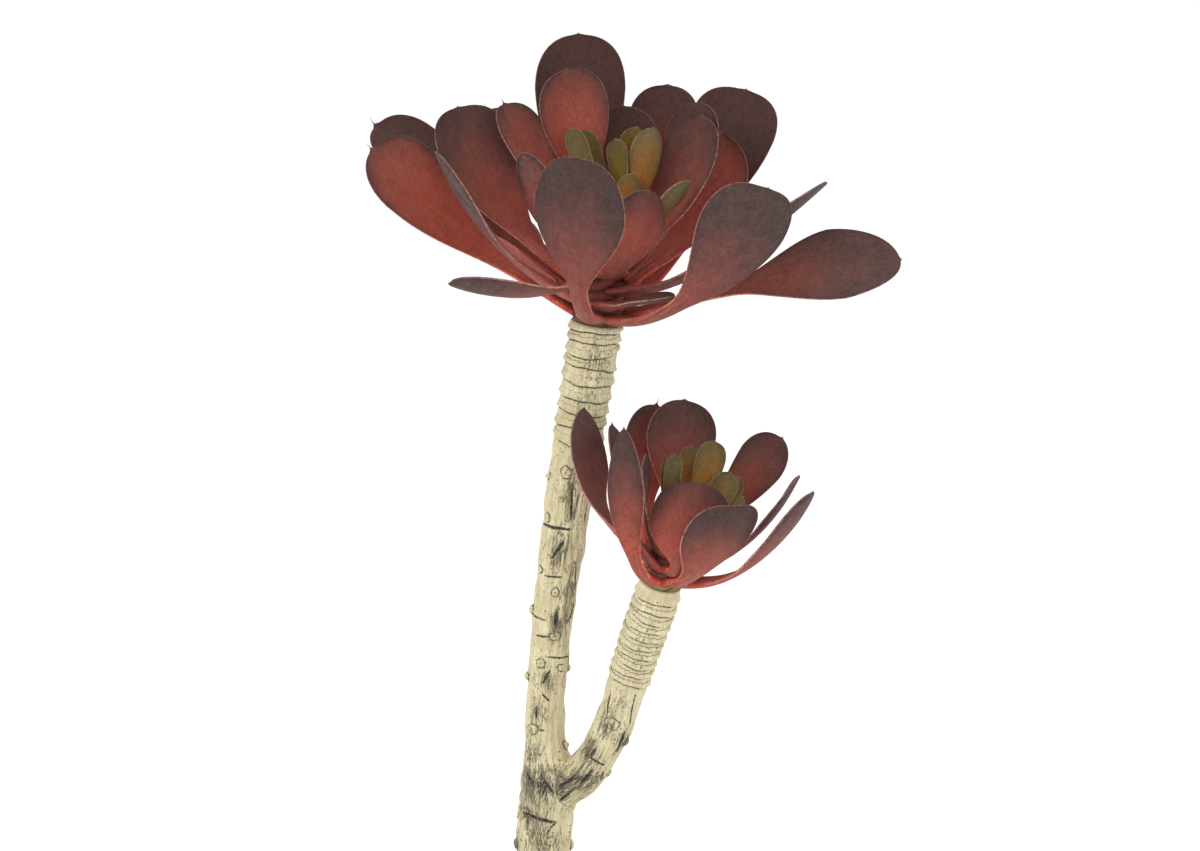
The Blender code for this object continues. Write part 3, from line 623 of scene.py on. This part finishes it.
def bark_grooves(grain):
    """How deep the bark's long shallow grooves are at each place, from 0 to 1."""
    deep = []
    for right, back, height in grain:
        broad = noise(Vector((right * 0.17, back * 0.17, height * 0.016)))
        narrow = noise(Vector((right * 0.33 + 20, back * 0.33, height * 0.045)))
        deep.append(max(exp(-((broad / 0.10) ** 2)), 0.8 * exp(-((narrow / 0.15) ** 2))))
    return np.array(deep)


def bark_relief(height, angle, radius, rings, scars, cracks):
    """How far the bark stands out, with the measures that its material draws from."""
    ring = nearest_ring(height, angle, rings)
    scar, proud = nearest_scar(height, angle, radius, scars)
    crack = nearest_crack(height, angle, radius, cracks)
    ringed = ramp(rings[0].height - 6, rings[0].height - 1, height)
    lip = 0.95 * np.exp(-(((ring - 0.6) / 0.75) ** 2)) + 0.65 * np.exp(-(((ring - 1.9) / 1.5) ** 2))
    under = -0.7 * np.exp(-(((ring + 0.6) / 0.45) ** 2))
    relief = (lip + under) * np.where(np.abs(ring) < 4, 1.0, 0.0)
    smooth = 1 - 0.75 * ringed
    button = proud * np.exp(-((scar / 0.95) ** 4)) - 0.35 * np.exp(-(((scar - 1.15) / 0.22) ** 2))
    relief += button
    relief -= 0.5 * ramp(0.45, -0.5, crack)
    lumps = 0.28 * np.sin(0.21 * height + 2 * angle) + 0.18 * np.sin(0.43 * height - 3 * angle + 1)
    flutes = 0.22 * np.sin(9 * angle + 0.06 * height) + 0.14 * np.sin(17 * angle - 0.09 * height)
    return relief + (lumps + flutes) * smooth, np.stack([ring, scar, crack], 1)


def dress_stem(finish):
    """The trunk and its branch grown together, with ridges, scars, cracks and flutes."""
    trunk = tube("trunk", TRUNK, 64, 1.5)
    branch = tube("branch", BRANCH, 56, 1.2)
    joined = np.concatenate([coordinates(trunk.data), coordinates(branch.data)])
    shift = len(trunk.data.vertices)
    faces = [tuple(p.vertices) for p in trunk.data.polygons]
    faces += [tuple(v + shift for v in p.vertices) for p in branch.data.polygons]
    for old in (trunk, branch):
        bpy.data.objects.remove(old)
    mesh = remeshed(add_piece("limbs", joined, faces, []), 0.72, "stem_bark")
    points = coordinates(mesh)
    lines = [rod(TRUNK), rod(BRANCH)]

    # The fork swells: near it, the skin moves out to a surface blended from both limbs
    for _ in range(4):
        gaps, ways = [], []
        for line in lines:
            radius, nearest = limb_place(points, line)[3:]
            way = points - line.centres[nearest]
            far = np.linalg.norm(way, axis=1)
            gaps.append(far - radius)
            ways.append(way / np.maximum(far, 1e-6)[:, None])
        reach = 7.0
        share = np.clip(0.5 + 0.5 * (gaps[1] - gaps[0]) / reach, 0, 1)
        blended = gaps[1] * (1 - share) + gaps[0] * share - reach * share * (1 - share)
        way = ways[1] * (1 - share)[:, None] + ways[0] * share[:, None]
        near = ramp(9.0, 5.0, np.maximum(np.abs(gaps[0]), np.abs(gaps[1])))
        near *= ramp(196, 200, points[:, 2])
        points -= way * (blended * near)[:, None]
    place_vertices(mesh, points)

    placed = [limb_place(points, line) for line in lines]
    on_branch = (np.hypot(placed[1][1], placed[1][2]) - placed[1][3]) < (
        np.hypot(placed[0][1], placed[0][2]) - placed[0][3]
    )
    relief = np.zeros(len(points))
    marks = np.zeros((len(points), 3))
    grain = np.zeros((len(points), 3))
    stain = np.zeros((len(points), 3))
    tables = (
        (TRUNK_RINGS, TRUNK_SCARS, TRUNK_CRACKS, TRUNK_STAINS),
        (BRANCH_RINGS, BRANCH_SCARS, BRANCH_CRACKS, BRANCH_STAINS),
    )
    for k, (rings, scars, cracks, stains) in enumerate(tables):
        mine = on_branch if k else ~on_branch
        height, right, back, radius = (values[mine] for values in placed[k][:4])
        angle = np.arctan2(back, right)
        relief[mine], marks[mine] = bark_relief(height, angle, radius, rings, scars, cracks)
        grain[mine] = np.stack([right + 60 * k, back, height], 1)
        neck = ramp(rings[0].height - 6, rings[0].height - 1, height)
        grooves = bark_grooves(grain[mine])
        relief[mine] -= GROOVE_DEPTH * grooves * (1 - 0.6 * neck)
        stain[mine] = np.stack([stained(height, angle, radius, stains), neck, grooves], 1)
    flat_end = (points[:, 2] < HOLE_FLOOR + 2) | (
        placed[0][0] > TRUNK[-1].z - 0.6
    ) | (on_branch & (placed[1][0] > BRANCH[-1].z - 0.6))
    relief[flat_end] = np.minimum(relief[flat_end], 0) * 0.2
    in_soil = ramp(SOIL_LEVEL - 2, SOIL_LEVEL + 4, points[:, 2])
    relief = relief * in_soil + np.minimum(relief, 0) * (1 - in_soil)
    points = points + normals(mesh) * relief[:, None]
    place_vertices(mesh, points)
    for key, values in (("marks", marks), ("grain", grain), ("stain", stain)):
        mesh.attributes.new(key, "FLOAT_VECTOR", "POINT").data.foreach_set(
            "vector", values.astype(np.float32).ravel()
        )
    mesh.materials.append(finish)
    mesh.shade_smooth()
    piece = bpy.data.objects.new("stem_bark", mesh)
    bpy.context.scene.collection.objects.link(piece)
    settle(piece, "stem")


# ---------------------------------------------------------------- pot and soil


def turned(name, profile, sides, finishes):
    """A solid turned about Z from (radius, height) points that start and end on the axis."""
    points = [(0, 0, profile[0][1])]
    for radius, height in profile[1:-1]:
        for j in range(sides):
            angle = 2 * pi * j / sides
            points.append((radius * cos(angle), radius * sin(angle), height))
    points.append((0, 0, profile[-1][1]))
    return add_piece(name, points, ring_faces(len(profile) - 2, sides), finishes)


def rounded(profile, turns, steps=4):
    """The profile with the corners listed in turns rounded by their radius."""
    made = []
    for k, corner in enumerate(profile):
        if k not in turns:
            made.append(corner)
            continue
        here = Vector(corner)
        before = (Vector(profile[k - 1]) - here).normalized() * turns[k]
        after = (Vector(profile[k + 1]) - here).normalized() * turns[k]
        for i in range(steps + 1):
            t = i / steps
            point = here + before * (1 - t) ** 2 + after * t**2
            made.append((point.x, point.y))
    return made


def spread(profile, longest):
    """The profile with points added, so that no step is longer than this."""
    made = [profile[0]]
    for a, b in zip(profile, profile[1:]):
        count = max(1, int(sqrt((b[0] - a[0]) ** 2 + (b[1] - a[1]) ** 2) / longest))
        made += [(a[0] + (b[0] - a[0]) * k / count, a[1] + (b[1] - a[1]) * k / count) for k in range(1, count + 1)]
    return made


def pot_inside(height):
    top = POT_TOP_RADIUS - POT_WALL - POT_RIM_STEP
    foot = POT_FOOT_RADIUS - POT_WALL
    return foot + (top - foot) * height / (POT_HEIGHT - 2)


def dress_pot(finish):
    """A plain clay pot with a rolled rim and drain holes."""
    rim_foot = POT_HEIGHT - POT_RIM_HEIGHT
    inner = POT_TOP_RADIUS - POT_WALL - POT_RIM_STEP
    corners = [
        (0, 0),
        (POT_FOOT_RADIUS, 0),
        (POT_TOP_RADIUS - POT_RIM_STEP, rim_foot),
        (POT_TOP_RADIUS, rim_foot + 1.2),
        (POT_TOP_RADIUS, POT_HEIGHT),
        (inner, POT_HEIGHT),
        (pot_inside(POT_FLOOR), POT_FLOOR),
        (0, POT_FLOOR),
    ]
    profile = rounded(corners, {1: 2.0, 2: 1.0, 3: 1.6, 4: 2.8, 5: 2.2, 6: 4.0})
    piece = turned("pot_clay", spread(profile, 4.0), 144, [finish])
    bore = [(0, -POT_FLOOR), (DRAIN_RADIUS, -POT_FLOOR), (DRAIN_RADIUS, 2 * POT_FLOOR), (0, 2 * POT_FLOOR)]
    for k in range(DRAIN_COUNT):
        angle = 2 * pi * k / DRAIN_COUNT
        drill = turned("drill", bore, 32, [finish])
        drill.location = Vector((cos(angle), sin(angle), 0)) * DRAIN_RING * MM
        cut = piece.modifiers.new("drain", "BOOLEAN")
        cut.operation, cut.solver, cut.object = "DIFFERENCE", "EXACT", drill
        graph = bpy.context.evaluated_depsgraph_get()
        mesh = bpy.data.meshes.new_from_object(piece.evaluated_get(graph))
        piece.modifiers.clear()
        piece.data = mesh
        bpy.data.objects.remove(drill)
    piece.data.set_sharp_from_angle(angle=radians(50))
    settle(piece, "pot")


def soil_height(x, y):
    humps = np.sin(x * 0.19 + 1.0) * np.cos(y * 0.23)
    humps += 0.6 * np.sin(x * 0.41 - y * 0.37) + 0.4 * np.cos(y * 0.7 + x * 0.3)
    far = ramp(13, 24, np.hypot(x, y))
    crumbs = 0.5 * np.sin(x * 1.7 + 0.6 * np.sin(y * 1.3)) * np.sin(y * 1.9 + 0.8 * np.sin(x * 1.1))
    crumbs += 0.3 * np.sin(x * 3.1 + y * 0.7) * np.cos(y * 2.9 - x * 0.5)
    return SOIL_LEVEL + SOIL_RELIEF * humps * far + crumbs


def dress_soil(finish):
    """The soil's body, with grit, bark crumbs and pale pumice bedded in its top."""
    edge = pot_inside(SOIL_LEVEL) - GAP
    hole = TRUNK[0].radius + 2 * GAP
    foot = POT_FLOOR + GAP
    rings, sides = 60, 180
    across = np.linspace(edge, hole, rings)
    body = [(pot_inside(foot) - 3 - GAP, foot), (pot_inside(foot + 3) - GAP, foot + 3)]
    points = [(0, 0, foot)]
    circle = [(cos(2 * pi * j / sides), sin(2 * pi * j / sides)) for j in range(sides)]
    for radius, height in body:
        points += [(radius * c, radius * s, height) for c, s in circle]
    for radius in across:
        x = np.array([radius * c for c, s in circle])
        y = np.array([radius * s for c, s in circle])
        points += list(zip(x, y, soil_height(x, y)))
    for radius, height in ((hole, SOIL_LEVEL - 4), (hole, HOLE_FLOOR)):
        points += [(radius * c, radius * s, height) for c, s in circle]
    points.append((0, 0, HOLE_FLOOR))
    faces = ring_faces(len(body) + rings + 2, sides)
    grit = [(0, 0, 0)] * len(points)

    random = np.random.default_rng(12)
    shell = round_grain()
    for _ in range(420):
        radius = sqrt(random.uniform((hole + 3) ** 2, (edge - 3) ** 2))
        angle = random.uniform(0, 2 * pi)
        x, y = radius * cos(angle), radius * sin(angle)
        size = random.uniform(0.9, 2.6)
        z = float(soil_height(np.array([x]), np.array([y]))[0]) + size * 0.15
        stretch = random.uniform(0.6, 1.25, 3) * size
        turn = Matrix.Rotation(random.uniform(0, 6), 3, Vector(random.normal(size=3)))
        tint = random.uniform(0, 1)
        bumps = random.uniform(0.82, 1.12, len(shell[0]))
        first = len(points)
        for spot, bump in zip(shell[0], bumps):
            v = turn @ Vector((spot[0] * stretch[0], spot[1] * stretch[1], spot[2] * stretch[2] * 0.7))
            points.append((x + v.x * bump, y + v.y * bump, z + v.z * bump))
        faces += [tuple(k + first for k in face) for face in shell[1]]
        grit += [(1, tint, size)] * len(shell[0])
    piece = add_piece("soil_mix", points, faces, [finish], {"grit": grit})
    settle(piece, "soil")


def round_grain():
    """Points and faces of a small round grain."""
    rows, sides = 4, 8
    points = [(0, 0, -1)]
    for i in range(rows):
        tilt = -pi / 2 + pi * (i + 1) / (rows + 1)
        for j in range(sides):
            turn = 2 * pi * j / sides
            points.append((cos(tilt) * cos(turn), cos(tilt) * sin(turn), sin(tilt)))
    points.append((0, 0, 1))
    return points, ring_faces(rows, sides)


# ---------------------------------------------------------------- materials


def colour(red, green, blue):
    """A colour from its usual 0 to 255 values."""
    values = []
    for value in (red / 255, green / 255, blue / 255):
        values.append(value / 12.92 if value <= 0.04045 else ((value + 0.055) / 1.055) ** 2.4)
    return (*values, 1.0)


class Wire:
    """A node's output. Sums on it add Math nodes to its tree."""

    def __init__(self, socket):
        self.socket = socket

    def math(self, operation, *values):
        node = self.socket.id_data.nodes.new("ShaderNodeMath")
        node.operation = operation
        for k, value in enumerate(values):
            plug(node.inputs[k], value)
        return Wire(node.outputs[0])

    def __add__(self, other):
        return self.math("ADD", self, other)

    def __radd__(self, other):
        return self.math("ADD", other, self)

    def __sub__(self, other):
        return self.math("SUBTRACT", self, other)

    def __rsub__(self, other):
        return self.math("SUBTRACT", other, self)

    def __mul__(self, other):
        return self.math("MULTIPLY", self, other)

    def __rmul__(self, other):
        return self.math("MULTIPLY", other, self)

    def __truediv__(self, other):
        return self.math("DIVIDE", self, other)

    def __pow__(self, other):
        return self.math("POWER", self, other)

    def __abs__(self):
        return self.math("ABSOLUTE", self)

    def top(self, other):
        return self.math("MAXIMUM", self, other)


def plug(socket, value):
    if isinstance(value, Wire):
        socket.id_data.links.new(value.socket, socket)
    else:
        socket.default_value = value


class Finish:
    """A material with one glossy shader, and the nodes that colour it."""

    def __init__(self, name, **constants):
        self.material = bpy.data.materials.new(name)
        self.material.use_nodes = True
        self.tree = self.material.node_tree
        self.shader = self.tree.nodes["Principled BSDF"]
        for key, value in constants.items():
            self.shader.inputs[key.replace("_", " ")].default_value = value

    def node(self, kind, output=0, inputs=(), **settings):
        """Any node: its settings are set first, and then the values or links of its sockets."""
        made = self.tree.nodes.new("ShaderNode" + kind)
        for key, value in settings.items():
            setattr(made, key, value)
        for key, value in dict(inputs).items():
            plug(made.inputs[key], value)
        return Wire(made.outputs[output])

    def marks(self, name):
        return self.node("Attribute", "Vector", attribute_name=name)

    def parts(self, wire):
        split = self.node("SeparateXYZ", inputs={0: wire})
        return [Wire(output) for output in split.socket.node.outputs]

    def stretch(self, wire, scale):
        return self.node("VectorMath", inputs={0: wire, 1: scale}, operation="MULTIPLY")

    def place(self):
        """The place on the plant, in millimetres."""
        return self.stretch(self.node("TexCoord", "Object"), (1 / MM, 1 / MM, 1 / MM))

    def noise(self, wire, scale, seed=0.0, detail=2.0, rough=0.5, warp=0.0):
        sockets = {"Vector": wire, "W": seed, "Scale": scale, "Detail": detail, "Roughness": rough, "Distortion": warp}
        return self.node("TexNoise", "Fac", sockets, noise_dimensions="4D")

    def cells(self, wire, scale, output="Distance"):
        return self.node("TexVoronoi", output, {"Vector": wire, "Scale": scale})

    def rise(self, value, low, high):
        """0 below low and 1 above high, smoothly. It falls where low is the greater."""
        sockets = {"Value": value, "From Min": low, "From Max": high}
        return self.node("MapRange", 0, sockets, interpolation_type="SMOOTHSTEP")

    def mix(self, share, first, second, blend="MIX"):
        sockets = {0: share, 6: first, 7: second}
        return self.node("Mix", 2, sockets, data_type="RGBA", blend_type=blend, clamp_factor=True)

    def lit(self, wire, value):
        """A colour made lighter or darker by a value."""
        return self.node("VectorMath", inputs={0: wire, "Scale": value}, operation="SCALE")

    def done(self, base, roughness, height, depth):
        """Joins the colour, the roughness and a relief of the given depth in millimetres."""
        plug(self.shader.inputs["Base Color"], base)
        plug(self.shader.inputs["Roughness"], roughness)
        bump = self.node("Bump", inputs={"Strength": 1.0, "Distance": depth * MM, "Height": height})
        plug(self.shader.inputs["Normal"], bump)
        return self.material


# In both palettes, edge is the colour of the painted glow of back-lit light along the lower rims
LEAF = Palette(
    foot=colour(176, 86, 70),
    body=colour(126, 76, 66),
    warm=colour(172, 82, 66),
    tip=colour(78, 54, 50),
    back_foot=colour(150, 86, 76),
    back_body=colour(112, 70, 64),
    back_tip=colour(70, 54, 52),
    rim=colour(204, 160, 148),
    edge=colour(196, 62, 44),
)
YOUNG = Palette(
    foot=colour(150, 132, 40),
    body=colour(132, 112, 38),
    warm=colour(178, 100, 40),
    tip=colour(98, 86, 56),
    back_foot=colour(146, 128, 48),
    back_body=colour(130, 110, 44),
    back_tip=colour(108, 98, 66),
    rim=colour(186, 160, 124),
    edge=colour(168, 96, 50),
)
BLOOM = colour(130, 112, 110)


def leaf_finish(name, palette):
    """Leaf skin: warm at the foot and dark at the tip, lined lengthways, with pale bloom and rims, and a painted glow
    of back-lit light along the lower rims.
    """
    f = Finish(name, Specular_IOR_Level=0.08)
    skin = f.marks("skin")
    across, up, edge = f.parts(skin)
    u, t, inner = f.parts(f.marks("blade"))
    red, dark, seed = f.parts(f.marks("mood"))
    bloom = f.parts(f.marks("bloom"))[0]
    place = f.place()
    clouds = f.noise(place, 0.06, seed, 3.0, 0.55)
    patches = f.noise(place, 0.2, seed + 4.0, 4.0, 0.65)
    mottle = f.noise(place, 0.62, seed + 2.0, 4.0, 0.7)
    grain = f.noise(place, 1.9, seed, 2.0, 0.6)
    lines = f.noise(f.stretch(skin, (0.9, 0.03, 0.0)), 1.0, seed, 3.0, 0.65)
    fine = f.noise(f.stretch(skin, (2.6, 0.07, 0.0)), 1.0, seed + 9.0, 2.0, 0.6)

    # How far up the leaf a place counts as: the sides darken before the rib does
    reach = t + 0.14 * u * u + 0.3 * (clouds - 0.5) + 0.12 * (lines - 0.5)
    reach = reach + 0.14 * (mottle - 0.5) + 0.36 * (dark - 0.5)
    darkness = f.rise(reach, 0.46, 1.02)
    warmth = f.rise(reach, 0.55, 0.08)
    body = f.mix(red + 0.6 * (clouds - 0.5), palette.body, palette.warm)
    front = f.mix(warmth * (0.35 + 0.65 * red), body, palette.foot)
    front = f.mix(darkness, front, palette.tip)
    back = f.mix(red * 0.75 + 0.5 * (patches - 0.5), palette.back_body, palette.warm)
    back = f.mix(warmth * 0.85, back, palette.back_foot)
    back = f.mix(darkness, back, palette.back_tip)
    skin_colour = f.mix(inner, back, front)

    # Powdery bloom in soft specks and smears, thicker on the backs and near the tips
    specks = f.rise(0.45 * patches + 0.35 * mottle + 0.2 * grain, 0.38, 0.7)
    powder = (0.35 + 0.65 * specks) * bloom * (0.42 - 0.24 * inner)
    skin_colour = f.mix(powder * (0.35 + 0.65 * t), skin_colour, BLOOM)
    # A dark band inside the rim of the upper half, a painted red glow of back-lit light along the rim lower down, and
    # a pale line on the rim itself
    band = f.rise(edge + 1.6 * (patches - 0.5), 3.4, 0.6) * f.rise(t, 0.45, 0.85)
    skin_colour = f.mix(band * 0.6, skin_colour, palette.tip)
    painted_rim_glow = f.rise(edge, 1.1, 0.2) * f.rise(t, 0.8, 0.45) * red
    skin_colour = f.mix(painted_rim_glow * 0.8, skin_colour, palette.edge)
    line = f.rise(edge + 0.3 * (lines - 0.5), 0.46, 0.12) * f.rise(mottle, 0.3, 0.55) * f.rise(t, 1.2, 0.6)
    skin_colour = f.mix(line * f.rise(t, 0.1, 0.5) * 0.65, skin_colour, palette.rim)
    # Pale lengthways streaks where the leaf narrows to its foot
    foot_lines = f.rise(0.6 * fine + 0.4 * lines, 0.48, 0.64) * f.rise(t, 0.55, 0.2)
    skin_colour = f.mix(foot_lines * 0.3, skin_colour, palette.rim)
    # Small dark pores and fine lengthways lines and speckle
    pores = f.rise(grain + 0.5 * (mottle - 0.5), 0.66, 0.8)
    shade = 1.0 + 0.5 * (lines - 0.5) * f.rise(t, 1.3, 0.1) + 0.4 * (fine - 0.5) + 0.5 * (grain - 0.5)
    shade = shade + 1.1 * (mottle - 0.5) + 0.5 * (patches - 0.5) - 0.14 * pores
    skin_colour = f.lit(skin_colour, shade)
    roughness = 0.52 + 0.2 * (patches - 0.5) + 0.16 * powder + 0.1 * (lines - 0.5)
    height = 0.75 * lines + 0.3 * fine + 0.25 * grain + 0.3 * patches + 0.3 * mottle
    return f.done(skin_colour, roughness, height, 0.42)


def crown_finish(name, foot, body):
    """Where the leaves meet the stem: one colour at the foot and another above it."""
    f = Finish(name, Specular_IOR_Level=0.2)
    place = f.place()
    fold, t = f.parts(f.marks("blade"))[:2]
    streaks = f.noise(f.stretch(place, (0.5, 0.5, 1.1)), 1.0, 0.0, 4.0, 0.6)
    blots = f.noise(place, 0.3, 2.0, 3.0)
    base = f.mix(f.rise(t + 0.2 * (blots - 0.5), 0.02, 0.16), foot, body)
    # Painted shade: darker down in the grooves between the crown's folds
    base = f.mix(f.rise(fold + 0.5 * (blots - 0.5), 0.75, 0.3) * 0.75, base, colour(62, 36, 32))
    base = f.mix(f.rise(streaks, 0.55, 0.78) * 0.4, base, colour(150, 112, 104))
    base = f.lit(base, 0.75 + 0.5 * streaks)
    return f.done(base, 0.6 + 0.2 * (blots - 0.5), streaks + 0.4 * blots, 0.5)


def bark_finish():
    """Cream bark with painted shadow lines under its ridges, dark lines round its scars and in its cracks, and aged
    streaks.
    """
    f = Finish("cream_bark", Specular_IOR_Level=0.3)
    grain = f.marks("grain")
    ring, scar, crack = f.parts(f.marks("marks"))
    stain, neck, groove = f.parts(f.marks("stain"))
    streaks = f.noise(f.stretch(grain, (1.25, 1.25, 0.11)), 1.0, 0.0, 4.0, 0.7)
    threads = f.noise(f.stretch(grain, (2.4, 2.4, 0.3)), 1.0, 3.0, 4.0, 0.65)
    hairs = f.noise(f.stretch(grain, (0.6, 0.6, 0.06)), 1.0, 11.0, 3.0, 0.6)
    clouds = f.noise(grain, 0.09, 1.0, 3.0)
    flecks = f.noise(grain, 1.5, 5.0, 3.0, 0.65)
    broken = f.noise(grain, 0.7, 7.0, 3.0, 0.6)

    base = f.mix(f.rise(clouds, 0.3, 0.7), colour(214, 203, 162), colour(236, 226, 188))
    base = f.mix(f.rise(streaks, 0.6, 0.36) * 0.4, base, colour(178, 164, 122))
    base = f.mix(groove * f.rise(threads, 0.35, 0.6) * 0.35, base, colour(156, 140, 104))
    # Aged places are dense with short dark streaks and dots, and the rest has a few
    aged = stain + 0.3 * (clouds - 0.5) - 0.12 * neck
    streaked = f.rise(streaks * 0.5 + threads * 0.5 + aged * 0.19, 0.665, 0.705)
    specks = f.rise(flecks + aged * 0.1, 0.67, 0.72) * 0.85
    line = f.rise(abs(hairs - 0.5), 0.03, 0.006) * f.rise(broken + 0.4 * aged, 0.56, 0.68) * 0.8
    deep = groove * f.rise(threads + 0.35 * aged, 0.62, 0.74) * 0.8
    # Painted shadow: a dark, broken line just under each ridge's lip
    under = f.rise(abs(ring + 0.45 + 0.9 * (broken - 0.5)), 0.6, 0.16) * f.rise(flecks, 0.28, 0.42)
    round_scar = f.rise(abs(scar - 1.1 + 0.5 * (broken - 0.5)), 0.22, 0.05) * f.rise(flecks, 0.4, 0.54)
    eye = f.rise(scar + 0.9 * (flecks - 0.5), 0.4, 0.1) * 0.6
    split = f.rise(crack + 1.3 * (broken - 0.5), 0.3, -0.15) * f.rise(flecks, 0.3, 0.46)
    dark = streaked.top(specks).top(line).top(deep).top(under * 0.92).top(round_scar * 0.9).top(eye).top(split)
    base = f.mix(dark, base, f.mix(f.rise(broken, 0.4, 0.62), colour(44, 41, 46), colour(80, 72, 68)))
    base = f.lit(base, 0.92 + 0.16 * flecks)
    height = 0.5 * streaks + 0.35 * threads + 0.2 * flecks - 0.6 * dark + 0.2 * broken
    return f.done(base, 0.66 + 0.16 * dark + 0.1 * (flecks - 0.5), height, 1.0)


def clay_finish():
    """Fired clay: faint turning lines, small pits, and pale salts near the rim and the foot."""
    f = Finish("terracotta", Specular_IOR_Level=0.25)
    place = f.place()
    x, y, z = f.parts(place)
    turning = f.noise(f.stretch(place, (0.012, 0.012, 1.3)), 1.0, 0.0, 3.0)
    clouds = f.noise(place, 0.035, 3.0, 4.0, 0.6)
    grit = f.noise(place, 1.3, 5.0, 3.0, 0.7)
    salts = f.noise(place, 0.09, 8.0, 5.0, 0.7)
    base = f.mix(clouds, colour(168, 92, 62), colour(196, 118, 84))
    base = f.mix(f.rise(turning, 0.35, 0.75) * 0.3, base, colour(150, 80, 54))
    high = f.rise(z + 34 * (salts - 0.5), 100, 136) * 0.45
    low = f.rise(z + 30 * (salts - 0.5), 30, -4) * 0.5
    crust = high.top(low) * f.rise(salts, 0.42, 0.66)
    base = f.mix(crust, base, colour(222, 206, 188))
    pits = f.rise(grit, 0.68, 0.78)
    base = f.mix(pits * 0.5, base, colour(104, 58, 42))
    base = f.lit(base, 0.9 + 0.2 * grit)
    height = 0.5 * turning + 0.4 * grit - 0.5 * pits + 0.25 * crust
    return f.done(base, 0.82 + 0.1 * (grit - 0.5), height, 0.5)


def soil_finish():
    """Dark soil, with grains that run from bark brown to pale pumice."""
    f = Finish("potting_soil", Specular_IOR_Level=0.2)
    is_grain, tint, size = f.parts(f.marks("grit"))
    place = f.place()
    crumbs = f.noise(place, 0.5, 0.0, 5.0, 0.7)
    dust = f.noise(place, 2.2, 4.0, 2.0)
    soil = f.mix(f.rise(crumbs, 0.35, 0.65), colour(38, 29, 23), colour(74, 57, 44))
    stone = f.mix(f.rise(tint, 0.2, 0.55), colour(84, 58, 40), colour(126, 104, 84))
    stone = f.mix(f.rise(tint, 0.72, 0.9), stone, colour(206, 198, 186))
    base = f.mix(is_grain, soil, stone)
    base = f.lit(base, 0.75 + 0.5 * dust)
    return f.done(base, 0.92 + 0.06 * (dust - 0.5), crumbs + 0.5 * dust, 1.2)


# ---------------------------------------------------------------- studio


def studio():
    """A pale floor, soft light and the photograph's camera."""
    floor = bpy.data.meshes.new("floor")
    reach = 14.0
    floor.from_pydata([(-reach, -reach, 0), (reach, -reach, 0), (reach, reach, 0), (-reach, reach, 0)], [], [(0, 1, 2, 3)])
    f = Finish("studio_floor", Specular_IOR_Level=0.1, Roughness=0.9)
    f.shader.inputs["Base Color"].default_value = (0.94, 0.94, 0.938, 1)
    f.shader.inputs["Emission Color"].default_value = (1, 1, 1, 1)
    f.shader.inputs["Emission Strength"].default_value = 0.07
    floor.materials.append(f.material)
    ground = bpy.data.objects.new("studio_floor", floor)
    ground.location.z = -0.0005
    bpy.context.scene.collection.objects.link(ground)

    world = bpy.data.worlds.new("studio")
    world.use_nodes = True
    world.node_tree.nodes["Background"].inputs["Color"].default_value = (1, 1, 1, 1)
    world.node_tree.nodes["Background"].inputs["Strength"].default_value = 1.0
    bpy.context.scene.world = world

    target = Vector((0.03, 0, 0.4))
    lamps = (("key", (-1.5, -1.7, 1.9), 1.3, 14), ("fill", (1.9, -1.5, 1.1), 1.6, 4), ("top", (0.3, 0.8, 2.4), 1.5, 8))
    for name, place, size, power in lamps:
        light = bpy.data.lights.new(name, "AREA")
        light.shape, light.size, light.energy = "DISK", size, power
        lamp = bpy.data.objects.new(name, light)
        lamp.location = place
        lamp.rotation_euler = (target - Vector(place)).to_track_quat("-Z", "Y").to_euler()
        bpy.context.scene.collection.objects.link(lamp)

    lens = bpy.data.cameras.new("camera")
    lens.lens, lens.sensor_width, lens.clip_end = 120, 36, 60
    camera = bpy.data.objects.new("camera", lens)
    lift, distance = radians(14), 2.0
    camera.location = target + Vector((0, -cos(lift), sin(lift))) * distance
    camera.rotation_euler = (target - camera.location).to_track_quat("-Z", "Y").to_euler()
    bpy.context.scene.collection.objects.link(camera)
    bpy.context.scene.camera = camera
    bpy.context.scene.view_settings.view_transform = "Standard"


blade_finish = leaf_finish("leaf_skin", LEAF)
young_finish = leaf_finish("young_leaf_skin", YOUNG)
large_crown = crown_finish("large_crown", colour(100, 80, 62), colour(132, 74, 64))
small_crown = crown_finish("small_crown", colour(136, 126, 78), colour(140, 92, 72))
for head, table, young, crown in (
    (LARGE, LARGE_LEAVES, LARGE_HEART, large_crown),
    (SMALL, SMALL_LEAVES, SMALL_HEART, small_crown),
):
    dress_leaves(head, table, blade_finish)
    dress_heart(head, young, crown, young_finish)
dress_stem(bark_finish())
dress_pot(clay_finish())
dress_soil(soil_finish())
studio()
